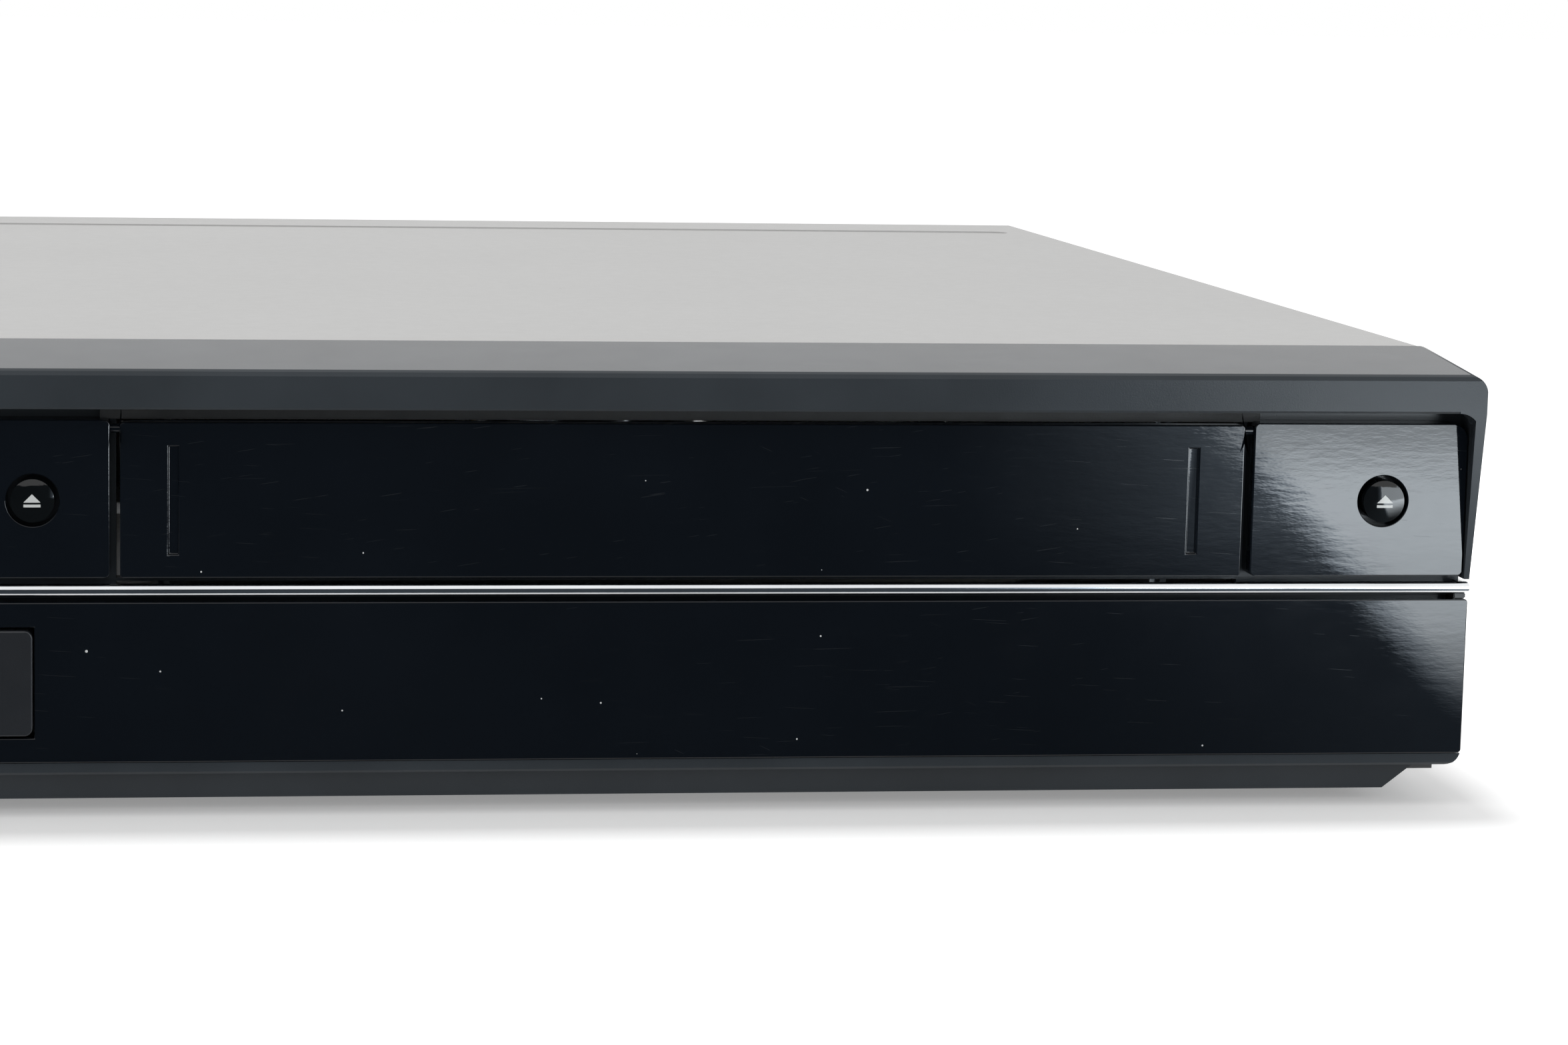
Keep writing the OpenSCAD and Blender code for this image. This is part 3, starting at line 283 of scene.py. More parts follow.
    def bump(self, height: Socket, depth: float, normal: Socket | None = None) -> Socket:
        """Turns a height pattern into relief.

        Args:
            height: The pattern.
            depth: The relief's full height, in metres.
            normal: Relief that is there already.

        Returns:
            The normal to feed to the surface.
        """
        values: dict[str | int, object] = {"Height": height, "Distance": depth, "Strength": 1.0}
        if normal is not None:
            values["Normal"] = normal
        return self.node("ShaderNodeBump", values).outputs[0]


@dataclass(frozen=True)
class Wipe:
    """One family of fine scratches that a cloth leaves, in degrees and metres."""

    turn: float
    length: float
    width: float
    seed: float
    share: float = 1.0


@dataclass(frozen=True)
class GlossMoulding:
    """Polished moulded plastic, with dust, finger marks, fine wiping scratches and slight waviness."""

    name: str
    colour: Colour
    roughness: float = 0.045
    dust: float = 0.10
    scratch: float = 0.55
    wipes: tuple[Wipe, ...] = (
        Wipe(-24.0, 0.007, 0.00030, 2.6, 0.5),
        Wipe(1.5, 0.018, 0.00030, 1.7),
        Wipe(-3.5, 0.012, 0.00026, 5.3),
        Wipe(9.0, 0.008, 0.00034, 8.9),
    )
    dust_tone: Colour = (0.70, 0.72, 0.72)
    scratch_tone: Colour = (0.30, 0.32, 0.33)

    def make(self) -> Material:
        """Builds the material.

        Returns:
            The material.
        """
        s = Shader(self.name, self.colour, self.roughness)
        small = s.specks(size=0.0036, radius=0.085, share=self.dust)
        dust = s.calc("MAXIMUM", small, s.specks(size=0.010, radius=0.045, share=self.dust * 2, seed=3.1))
        lines, *others = (s.scratches(w.turn, w.length, w.width, self.scratch * w.share, w.seed) for w in self.wipes)
        for other in others:
            lines = s.calc("MAXIMUM", lines, other)
        clouds = s.ramp(s.noise(26.0, detail=3.0), 0.35, 0.75)
        tone = s.blend(clouds, self.colour, tinted(self.colour, 1.35, 0.0004))
        tone = s.blend(s.calc("MULTIPLY", lines, 0.035), tone, self.scratch_tone)
        s.feed("Base Color", s.blend(dust, tone, self.dust_tone))
        wear = s.calc("MAXIMUM", s.calc("MULTIPLY", dust, 0.6), s.calc("MULTIPLY", lines, 0.13))
        marks = s.ramp(s.noise(19.0, detail=5.0, rough=0.68), 0.50, 0.72, 0.0, 0.07)
        smears = s.noise(210.0, detail=3.0, rough=0.6)
        smear = s.ramp(smears, 0.3, 0.8, self.roughness * 0.7, self.roughness * 1.5)
        s.feed("Roughness", s.calc("ADD", s.calc("ADD", smear, marks), wear))
        waves = s.bump(s.noise(70.0, detail=1.0), 12 * UM)
        wiping = s.noise(1.0, detail=4.0, rough=0.66, at=s.moved(scale=(100, 100, 380)))
        s.feed("Normal", s.bump(wiping, 19 * UM, waves))
        return s.material


@dataclass(frozen=True)
class SatinMoulding:
    """Moulded plastic with a fine spark-eroded grain."""

    name: str
    colour: Colour
    roughness: float = 0.4
    grain: float = 12 * UM
    gloss: float = 0.5
    dust: float = 0.016
    dust_tone: Colour = (0.5, 0.5, 0.49)

    def make(self) -> Material:
        """Builds the material.

        Returns:
            The material.
        """
        s = Shader(self.name, self.colour, self.roughness)
        s.set("Specular IOR Level", self.gloss)
        clouds = s.ramp(s.noise(40.0, detail=3.0), 0.3, 0.7)
        tone = s.blend(clouds, tinted(self.colour, 0.9), tinted(self.colour, 1.12))
        dust = s.specks(size=0.006, radius=0.05, share=self.dust, seed=1.9)
        s.feed("Base Color", s.blend(dust, tone, self.dust_tone))
        s.feed("Roughness", s.ramp(s.noise(120.0, detail=2.0), 0.3, 0.7, self.roughness * 0.9, self.roughness * 1.12))
        s.feed("Normal", s.bump(s.noise(3800.0, detail=2.0, rough=0.6), self.grain))
        return s.material


@dataclass(frozen=True)
class PaintedSteel:
    """Sheet steel with a fine, slightly pebbled powder coat."""

    name: str
    colour: Colour
    roughness: float = 0.45
    dirt_tone: Colour = (0.2, 0.2, 0.19)

    def make(self) -> Material:
        """Builds the material.

        Returns:
            The material.
        """
        s = Shader(self.name, self.colour, self.roughness)
        clouds = s.ramp(s.noise(14.0, detail=4.0, rough=0.55), 0.3, 0.7)
        tone = s.blend(clouds, tinted(self.colour, 0.985), tinted(self.colour, 1.015))
        flecks = s.ramp(s.noise(2600.0, detail=1.0), 0.66, 0.72)
        tone = s.blend(s.calc("MULTIPLY", flecks, 0.25), tone, tinted(self.colour, 1.25))
        dirt = s.specks(size=0.009, radius=0.03, share=0.05, seed=2.3)
        s.feed("Base Color", s.blend(s.calc("MULTIPLY", dirt, 0.5), tone, self.dirt_tone))
        s.feed("Roughness", s.ramp(s.noise(300.0, detail=3.0), 0.3, 0.7, self.roughness * 0.94, self.roughness * 1.06))
        s.feed("Normal", s.bump(s.noise(1900.0, detail=3.0, rough=0.6), 16 * UM))
        return s.material


@dataclass(frozen=True)
class PlatedSteel:
    """Zinc plated sheet, with its faint crystals and rolling marks."""

    name: str
    colour: Colour = (0.50, 0.51, 0.52)
    roughness: float = 0.36

    def make(self) -> Material:
        """Builds the material.

        Returns:
            The material.
        """
        s = Shader(self.name, self.colour, self.roughness, 1.0)
        spangle = s.node("ShaderNodeTexVoronoi", {"Vector": s.place, "Scale": 240.0}).outputs["Color"]
        facet = s.node("ShaderNodeSeparateColor", {0: spangle}).outputs[0]
        rolled = s.noise(1.0, detail=3.0, rough=0.6, at=s.moved(scale=(30, 900, 900)))
        share = s.calc("ADD", s.calc("MULTIPLY", facet, 0.4), s.calc("MULTIPLY", rolled, 0.6))
        s.feed("Base Color", s.blend(share, tinted(self.colour, 0.86), tinted(self.colour, 1.1)))
        s.feed("Roughness", s.ramp(share, 0.2, 0.8, self.roughness * 0.8, self.roughness * 1.25))
        s.feed("Normal", s.bump(rolled, 4 * UM))
        return s.material


@dataclass(frozen=True)
class BrightMetal:
    """Machined, drawn or polished metal, with fine marks along one direction."""

    name: str
    colour: Colour
    roughness: float = 0.2
    stretch: Point = (40, 4000, 4000)

    def make(self) -> Material:
        """Builds the material.

        Returns:
            The material.
        """
        s = Shader(self.name, self.colour, self.roughness, 1.0)
        marks = s.noise(1.0, detail=2.0, rough=0.55, at=s.moved(scale=self.stretch))
        clouds = s.ramp(s.noise(35.0, detail=3.0), 0.3, 0.7)
        s.feed("Base Color", s.blend(clouds, tinted(self.colour, 0.9), tinted(self.colour, 1.06)))
        s.feed("Roughness", s.ramp(marks, 0.3, 0.7, self.roughness * 0.75, self.roughness * 1.3))
        s.feed("Normal", s.bump(marks, 2 * UM))
        return s.material


@dataclass(frozen=True)
class Rubber:
    """Moulded rubber with a dry bloom."""

    name: str
    colour: Colour = (0.018, 0.018, 0.019)

    def make(self) -> Material:
        """Builds the material.

        Returns:
            The material.
        """
        s = Shader(self.name, self.colour, 0.75)
        bloom = s.ramp(s.noise(160.0, detail=4.0, rough=0.65), 0.35, 0.8)
        s.feed("Base Color", s.blend(bloom, self.colour, tinted(self.colour, 1.0, 0.02)))
        s.feed("Roughness", s.ramp(bloom, 0.0, 1.0, 0.6, 0.85))
        s.feed("Normal", s.bump(s.noise(2600.0, detail=2.0), 20 * UM))
        return s.material


@dataclass(frozen=True)
class BoardLacquer:
    """A circuit board: copper tracks that show through its lacquer, and solder points."""

    name: str
    colour: Colour
    track: Colour
    solder: Colour = (0.62, 0.62, 0.6)

    def make(self) -> Material:
        """Builds the material.

        Returns:
            The material.
        """
        s = Shader(self.name, self.colour, 0.32)
        sizes = {"Scale": 90.0, "Mortar_Size": 0.06, "Brick_Width": 0.9, "Row_Height": 0.22}
        rows = s.bricks((0, 0, 45), grey(0.0), grey(0.0), grey(1.0), **sizes)
        tracks = s.calc("MULTIPLY", rows, s.ramp(s.noise(60.0, detail=2.0), 0.47, 0.5))
        dots = s.specks(size=0.0034, radius=0.34, share=0.35, seed=0.9)
        s.feed("Base Color", s.blend(dots, s.blend(tracks, self.colour, self.track), self.solder))
        s.feed("Metallic", s.calc("MULTIPLY", dots, 0.9))
        s.feed("Normal", s.bump(s.calc("ADD", tracks, dots), 40 * UM))
        return s.material


@dataclass(frozen=True)
class DarkGlass:
    """A display tube's smoked window, or a coated lens, with a faint fine grid."""

    name: str
    colour: Colour = (0.01, 0.016, 0.018)
    line: Colour = (0.05, 0.06, 0.06)

    def make(self) -> Material:
        """Builds the material.

        Returns:
            The material.
        """
        s = Shader(self.name, self.colour, 0.04)
        sizes = {"Scale": 160.0, "Mortar_Size": 0.04}
        s.feed("Base Color", s.bricks((90, 0, 0), self.colour, tinted(self.colour, 1.4), self.line, **sizes))
        s.feed("Roughness", s.ramp(s.noise(80.0, detail=3.0), 0.3, 0.7, 0.03, 0.07))
        return s.material


class Finishes:
    """Every finish of the player, by its name."""

    def __init__(self) -> None:
        """Builds all the materials once."""
        finishes = [
            # the record's slots
            PaintedSteel("cover_paint", (0.535, 0.533, 0.527), 0.5),
            PlatedSteel("zinc_steel"),
            SatinMoulding("bezel_plastic", (0.043, 0.051, 0.059), 0.17, gloss=0.18),
            GlossMoulding("gloss_black", (0.0038, 0.0057, 0.0088)),
            BrightMetal("strip_metal", (0.83, 0.85, 0.87), 0.10),
            GlossMoulding("button_plastic", (0.0035, 0.0045, 0.0052), 0.035, 0.05, 0.3),
            SatinMoulding("key_plastic", (0.022, 0.025, 0.03), 0.3),
            SatinMoulding("record_plastic", (0.20, 0.02, 0.018), 0.3),
            BoardLacquer("board_green", (0.010, 0.085, 0.032), (0.03, 0.17, 0.06)),
            BoardLacquer("board_tan", (0.34, 0.20, 0.085), (0.40, 0.26, 0.13)),
            SatinMoulding("part_black", (0.014, 0.014, 0.015), 0.42),
            DarkGlass("display_glass"),
            BrightMetal("jack_metal", (0.80, 0.74, 0.58), 0.25),
            SatinMoulding("frame_plastic", (0.034, 0.036, 0.039), 0.45),
            SatinMoulding("nylon_white", (0.70, 0.69, 0.65), 0.38),
            BrightMetal("motor_steel", (0.52, 0.53, 0.54), 0.38, (400, 400, 6000)),
            BrightMetal("ground_steel", (0.74, 0.75, 0.76), 0.16, (3000, 60, 3000)),
            BrightMetal("drum_metal", (0.86, 0.87, 0.88), 0.14, (200, 200, 9000)),
            BrightMetal("capstan_metal", (0.72, 0.55, 0.30), 0.22, (300, 300, 8000)),
            BrightMetal("pickup_metal", (0.45, 0.46, 0.48), 0.42, (600, 600, 600)),
            Rubber("belt_rubber"),
            Rubber("foot_rubber", (0.02, 0.02, 0.02)),
            Rubber("roller_rubber", (0.028, 0.027, 0.026)),
            BrightMetal("screw_steel", (0.30, 0.30, 0.31), 0.34, (900, 900, 900)),
            # the fine pieces' own
            SatinMoulding("symbol_ink", (0.76, 0.79, 0.78), 0.4, 0.0),
            SatinMoulding("resistor_coat", (0.52, 0.38, 0.20), 0.35),
            SatinMoulding("can_sleeve", (0.015, 0.024, 0.075), 0.28),
            SatinMoulding("disc_coat", (0.55, 0.20, 0.03), 0.33),
            BrightMetal("tinned_leg", (0.66, 0.66, 0.65), 0.3, (2000, 2000, 2000)),
            BrightMetal("core_steel", (0.26, 0.26, 0.27), 0.42, (300, 5000, 300)),
            SatinMoulding("coil_tape", (0.62, 0.45, 0.06), 0.3),
            BrightMetal("coil_copper", (0.62, 0.28, 0.13), 0.3, (5000, 300, 5000)),
            DarkGlass("lens_glass", (0.02, 0.03, 0.09)),
            SatinMoulding("ring_white", (0.72, 0.71, 0.68), 0.35),
            SatinMoulding("ring_red", (0.45, 0.02, 0.018), 0.35),
            SatinMoulding("ring_yellow", (0.70, 0.44, 0.03), 0.35),
        ]
        self._by_name = {finish.name: finish.make() for finish in finishes}

    def __getitem__(self, name: str) -> Material:
        """The finish of a name."""
        return self._by_name[name]


@dataclass(frozen=True)
class Zone:
    """A box, in millimetres, in which a node has a finish of its own."""

    finish: str
    low: Point
    high: Point

    def holds(self, place: Vector) -> bool:
        """Whether a place in millimetres lies in the box."""
        return all(a <= m <= b for a, m, b in zip(self.low, place, self.high))


@dataclass
class Workshop:
    """What every sub-assembly needs to make its pieces."""

    frame: dict
    finishes: Finishes
    repeater: "Repeater"
    ease_facets: int = 2
    body_of: dict[str, str] = field(default_factory=dict)
    slot_of: dict[str, str] = field(default_factory=dict)

    def __post_init__(self) -> None:
        """Reads each node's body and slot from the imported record."""
        record = self.frame["record"]
        for body, nodes in record["behaviour"]["bodies"].items():
            self.body_of.update({node: body for node in nodes})
        self.slot_of = {part["node"]: part["material_slot"] for part in record["subparts"]}

    def carry_over(self, *nodes: str) -> None:
        """Leaves nodes as they are in shape and gives them their finish.

        Args:
            *nodes: The nodes.
        """
        for node in nodes:
            for place in self.frame["nodes"][node].material_slots:
                place.material = self.finishes[self.slot_of[node]]
            LOG.info("carried over %s", node)

    def settle(self, piece: Piece, node: str, replaces: bool = False) -> None:
        """Puts a finished piece on the body of a node.

        Args:
            piece: The piece, at the origin, with its place in its mesh.
            node: The node that it belongs to.
            replaces: Whether it stands for the node.
        """
        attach(piece, self.body_of[node])
        if replaces:
            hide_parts(node)
        LOG.info("built %s on %s", piece.name, node)

    def _shape_of(self, node: str) -> Shape:
        """A copy of a node's own shape, with its corners joined.

        Args:
            node: The node.

        Returns:
            The shape, in metres.
        """
        shape = bmesh.new()
        shape.from_mesh(self.frame["nodes"][node].data)
        bmesh.ops.remove_doubles(shape, verts=shape.verts, dist=WELD)
        return shape

    def zoned(self, node: str, zones: list[Zone]) -> None:
        """Makes a piece of a node's own shape with other finishes in some zones, which stands for it.

        Args:
            node: The node.
            zones: The zones.
        """
        shape = self._shape_of(node)
        names = [self.slot_of[node], *dict.fromkeys(zone.finish for zone in zones)]
        for face in shape.faces:
            middle = face.calc_center_median() / MM
            held = [zone.finish for zone in zones if zone.holds(middle)]
            face.material_index = names.index(held[-1]) if held else 0
        piece = new_piece(f"{node}.zoned", shape, *(self.finishes[name] for name in names), degrees=CORNER)
        self.settle(piece, node, replaces=True)

    def eased(self, node: str, radius: float, clamp: bool = False) -> None:
        """Makes a piece of a node's shape with its sharp edges eased, which stands for it.

        Args:
            node: The node.
            radius: How far the easing reaches, in metres.
            clamp: Whether the easing stops where it would meet another one.
        """
        shape = self._shape_of(node)
        bmesh.ops.dissolve_limit(shape, angle_limit=math.radians(FLAT), verts=shape.verts, edges=shape.edges)
        piece = new_piece(f"{node}.eased", shape, self.finishes[self.slot_of[node]], degrees=CORNER)
        easing = piece.modifiers.new("easing", "BEVEL")
        easing.width = radius
        easing.segments = self.ease_facets
        easing.limit_method = "ANGLE"
        easing.angle_limit = math.radians(CORNER)
        easing.use_clamp_overlap = clamp
        easing.loop_slide = True
        easing.harden_normals = True
        level = piece.modifiers.new("level", "WEIGHTED_NORMAL")
        level.keep_sharp = True
        level.weight = 60
        finish_modifiers(piece)
        self.settle(piece, node, replaces=True)


def finish_modifiers(piece: Piece) -> None:
    """Turns what a piece's modifiers make into its own plain mesh.

    Args:
        piece: The piece.
    """
    shape = piece.evaluated_get(bpy.context.evaluated_depsgraph_get())
    mesh = bpy.data.meshes.new_from_object(shape)
    piece.modifiers.clear()
    piece.data = mesh


def new_piece(name: str, shape: Shape, *finishes: Material, degrees: float = 30) -> Piece:
    """Turns a finished bmesh into an object at the origin.

    Args:
        name: The piece's name.
        shape: Its mesh, in metres in the part's frame, which is freed.
        *finishes: Its finishes; a face's material index says which of them it has.
        degrees: Edges that turn more than this stay sharp.

    Returns:
        The object, linked to the scene.
    """
    mesh = bpy.data.meshes.new(name)
    for finish in finishes:
        mesh.materials.append(finish)
    shape.to_mesh(mesh)
    shape.free()
    mesh.polygons.foreach_set("use_smooth", [True] * len(mesh.polygons))
    mesh.set_sharp_from_angle(angle=math.radians(degrees))
    piece = bpy.data.objects.new(name, mesh)
    bpy.context.scene.collection.objects.link(piece)
    return piece


@dataclass(frozen=True)
class Spot:
    """Where one copy of a repeated piece stands, in millimetres and degrees."""

    place: Point
    turn: Point = (0.0, 0.0, 0.0)


class Repeater:
    """A Geometry Nodes tree that sets one model on every point of a layout."""

    SOCKETS = {
        "Layout": "Geometry", "Model": "Object", "Scale": "Float", "Jitter": "Float", "Seed": "Int",
        "Finish": "Material",
    }

    def __init__(self) -> None:
        """Builds the tree, with its named inputs."""
        self.tree = bpy.data.node_groups.new("repeat", "GeometryNodeTree")
        make = self.tree.interface.new_socket
        self.sockets = {
            name: make(name, in_out="INPUT", socket_type=f"NodeSocket{kind}").identifier
            for name, kind in self.SOCKETS.items()
        }
        make("Copies", in_out="OUTPUT", socket_type="NodeSocketGeometry")
        add = Wiring(self.tree).node
        given = add("NodeGroupInput").outputs
        model = add("GeometryNodeObjectInfo", {"Object": given["Model"]}, transform_space="ORIGINAL")
        turn = add("GeometryNodeInputNamedAttribute", {"Name": "turn"}, data_type="FLOAT_VECTOR")
        least, most = (0, 0, -1), (0, 0, 1)
        chance = add(
            "FunctionNodeRandomValue", {0: least, 1: most, "Seed": given["Seed"]}, data_type="FLOAT_VECTOR"
        )
        swing = add("ShaderNodeVectorMath", {0: chance.outputs[0], "Scale": given["Jitter"]}, operation="SCALE")
        stand = {
            "Points": given["Layout"], "Instance": model.outputs["Geometry"],
            "Rotation": turn.outputs["Attribute"], "Scale": given["Scale"],
        }
        copies = add("GeometryNodeInstanceOnPoints", stand)
        spun = add("GeometryNodeRotateInstances", {"Instances": copies.outputs[0], "Rotation": swing.outputs[0]})
        real = add("GeometryNodeRealizeInstances", {0: spun.outputs[0]})
        dressed = add("GeometryNodeSetMaterial", {"Geometry": real.outputs[0], "Material": given["Finish"]})
        add("NodeGroupOutput", {0: dressed.outputs[0]})

    def lay(
        self, name: str, model: Shape, spots: list[Spot], finish: Material, jitter: float = 0.0, seed: int = 1
    ) -> Piece:
        """Sets a model on every spot.

        Args:
            name: The piece's name.
            model: The model about the origin, in metres, which is freed.
            spots: Where the copies stand.
            finish: Their finish.
            jitter: How far each turns about its own axis by chance, in degrees.
            seed: The chance's seed.

        Returns:
            One plain mesh with all the copies.
        """
        one = new_piece(f"{name}.model", model, finish)
        mesh = bpy.data.meshes.new(name)
        mesh.from_pydata([Vector(s.place) * MM for s in spots], [], [])
        turns = [math.radians(angle) for s in spots for angle in s.turn]
        mesh.attributes.new("turn", "FLOAT_VECTOR", "POINT").data.foreach_set("vector", turns)
        piece = bpy.data.objects.new(name, mesh)
        bpy.context.scene.collection.objects.link(piece)
        copies = piece.modifiers.new("repeat", "NODES")
        copies.node_group = self.tree
        values = {"Model": one, "Scale": 1.0, "Jitter": math.radians(jitter), "Seed": seed, "Finish": finish}
        for key, value in values.items():
            copies[self.sockets[key]] = value
        finish_modifiers(piece)
        bpy.data.objects.remove(one)
        if "turn" in piece.data.attributes:
            piece.data.attributes.remove(piece.data.attributes["turn"])
        return piece


def circle(shape: Shape, radius: float, height: float, count: int) -> list[Vert]:
    """Adds a level ring of points about Z, or one point on the axis where the radius is zero.

    Args:
        shape: The shape.
        radius: The ring's radius, in millimetres.
        height: Its height, in millimetres.
        count: How many points.

    Returns:
        The points.
    """
    angles = [math.tau * i / count for i in range(count)] if radius else [0.0]
    return [shape.verts.new((radius * math.cos(a) * MM, radius * math.sin(a) * MM, height * MM)) for a in angles]


def skin(shape: Shape, rings: list[list[Vert]]) -> None:
    """Joins rings of points, each to the next, with a band of faces.

    Args:
        shape: The shape.
        rings: The rings, of which some may be a single point.
    """
    for low, high in zip(rings, rings[1:]):
        for i in range(max(len(low), len(high))):
            ends = [low[i % len(low)], low[(i + 1) % len(low)], high[(i + 1) % len(high)], high[i % len(high)]]
            shape.faces.new(list(dict.fromkeys(ends)))


def turned(profile: list[Pair], count: int = 24) -> Shape:
    """A shape turned about Z.

    Args:
        profile: Radius and height of each ring, in millimetres; a radius of zero is a point on the axis.
        count: Facets round the axis.

    Returns:
        The shape, in metres.
    """
    shape = bmesh.new()
    skin(shape, [circle(shape, radius, height, count) for radius, height in profile])
    bmesh.ops.recalc_face_normals(shape, faces=shape.faces)
    return shape


def washers(rings: tuple[Ring, ...], count: int = 32, ease: float = 0.12) -> Shape:
    """Flat rings about Z with eased edges.

    Args:
        rings: The rings, in millimetres.
        count: Facets round the axis.
        ease: How far the easing reaches, in millimetres.

    Returns:
        The shape, in metres.
    """
    shape = bmesh.new()
    for bore, rim, low, high in rings:
        edge = high - ease
        section = [(bore, low), (rim, low), (rim, edge), (rim - ease, high), (bore + ease, high), (bore, edge)]
        loops = [circle(shape, radius, height, count) for radius, height in section]
        skin(shape, loops + loops[:1])
    bmesh.ops.recalc_face_normals(shape, faces=shape.faces)
    return shape


def cross_screw(radius: float, thick: float, shank: float, length: float, count: int = 24) -> Shape:
    """A pan-head screw with a cross recess, pointing down the Z axis.

    Args:
        radius: The head's radius, in millimetres.
        thick: The head's height, in millimetres.
        shank: The shank's radius, in millimetres.
        length: The shank's length, in millimetres.
        count: Facets round the axis.

    Returns:
        The shape, in metres.
    """
    head = [(1.0, 0.0), (1.0, 0.42), (0.94, 0.72), (0.80, 0.93), (0.62, 1.0)]
    profile = [(0, -length), (shank, -length), (shank, 0), *((radius * r, thick * z) for r, z in head)]
    shape = bmesh.new()
    skin(shape, [circle(shape, r, z, count) for r, z in profile])
    rim_edges = [e for e in shape.edges if e.is_boundary]
    arm, half = 0.50 * radius, 0.11 * radius
    quarter = [(half, arm), (-half, arm), (-half, half)]
    plus = quarter + [(-y, x) for x, y in quarter] + [(-x, -y) for x, y in quarter] + [(y, -x) for x, y in quarter]
    top = [shape.verts.new((x * MM, y * MM, thick * MM)) for x, y in plus]
    taper, floor = 0.72, 0.25 * thick
    deep = [shape.verts.new((x * taper * MM, y * taper * MM, floor * MM)) for x, y in plus]
    edges = [shape.edges.new(ends) for ends in zip(top, top[1:] + top[:1])]
    bmesh.ops.triangle_fill(shape, use_beauty=True, edges=rim_edges + edges)
    skin(shape, [top, deep])
    bmesh.ops.triangulate(shape, faces=[shape.faces.new(deep)], ngon_method="EAR_CLIP")
    bmesh.ops.recalc_face_normals(shape, faces=shape.faces)
    return shape


def box_into(shape: Shape, one: Point, other: Point) -> None:
    """Adds a box to a shape.

    Args:
        shape: The shape.
        one: A corner of the box, in millimetres.
        other: The opposite corner.
    """
    for vert in bmesh.ops.create_cube(shape, size=1.0)["verts"]:
        vert.co = Vector([(a + b) / 2 + abs(b - a) * c for a, b, c in zip(one, other, vert.co)]) * MM


def legs_into(shape: Shape, reach: float, half: float, low: float, high: float) -> None:
    """Adds two square legs to a shape, on both sides of its middle.

    Args:
        shape: The shape.
        reach: How far each leg's middle is from the shape's middle, in millimetres.
        half: Half the legs' width, in millimetres.
        low: The height of their lower ends, in millimetres.
        high: The height of their upper ends, in millimetres.
    """
    for x in (-reach, reach):
        box_into(shape, (x - half, -half, low), (x + half, half, high))


def boxes(ends: list[tuple[Point, Point]], ease: float, facets: int = 2) -> Shape:
    """Boxes with eased edges.

    Args:
        ends: Two opposite corners of each box, in millimetres.
        ease: How far the easing reaches, in millimetres.
        facets: The easing's facets.

    Returns:
        The shape, in metres.
    """
    shape = bmesh.new()
    for one, other in ends:
        box_into(shape, one, other)
    bmesh.ops.bevel(shape, geom=list(shape.edges), offset=ease * MM, segments=facets, affect="EDGES")
    return shape


def thicken(shape: Shape, depth: float) -> None:
    """Extrudes a flat shape along Y and closes it.

    Args:
        shape: The shape.
        depth: How far, in metres.
    """
    grown = bmesh.ops.extrude_face_region(shape, geom=list(shape.faces), use_keep_orig=True)["geom"]
    bmesh.ops.translate(shape, verts=[v for v in grown if isinstance(v, Vert)], vec=(0, depth, 0))
    bmesh.ops.recalc_face_normals(shape, faces=shape.faces)


def tip_over(shape: Shape, axis: str, lift: float) -> None:
    """Turns a shape by a quarter about an axis and lifts it, in millimetres."""
    turn = Matrix.Rotation(math.radians(90), 4, axis)
    bmesh.ops.transform(shape, matrix=Matrix.Translation((0, 0, lift * MM)) @ turn, verts=shape.verts)


class Symbol(Enum):
    """The generic signs on the controls, as outlines in a square of side two."""

    EJECT = "eject"
    POWER = "power"
    PLAY = "play"
    REWIND = "rewind"
    FORWARD = "forward"
    STOP = "stop"
    RECORD = "record"

    def outlines(self) -> list[list[Pair]]:
        """The sign's closed outlines, seen from the front.

        Returns:
            The outlines.
        """
        left = [(0.0, 0.7), (0.0, -0.7), (-0.95, 0.0)]
        right = [(-x, y) for x, y in left]
        arc = [(math.cos(a), math.sin(a)) for a in (math.radians(60 - i * 15) for i in range(21))]
        ring = [(0.9 * x, 0.9 * y) for x, y in arc] + [(0.66 * x, 0.66 * y) for x, y in reversed(arc)]
        disc = [(0.75 * math.cos(a), 0.75 * math.sin(a)) for a in (math.tau * i / 24 for i in range(24))]
        table = {
            Symbol.EJECT: [
                [(-0.9, -0.15), (0.9, -0.15), (0.0, 0.9)],
                [(-0.9, -0.75), (0.9, -0.75), (0.9, -0.4), (-0.9, -0.4)],
            ],
            Symbol.POWER: [ring, [(-0.12, 0.15), (0.12, 0.15), (0.12, 1.05), (-0.12, 1.05)]],
            Symbol.PLAY: [[(-0.6, -0.8), (0.8, 0.0), (-0.6, 0.8)]],
            Symbol.REWIND: [left, [(x + 0.95, y) for x, y in left]],
            Symbol.FORWARD: [right, [(x - 0.95, y) for x, y in right]],
            Symbol.STOP: [[(-0.7, -0.7), (0.7, -0.7), (0.7, 0.7), (-0.7, 0.7)]],
            Symbol.RECORD: [disc],
        }
        return table[self]


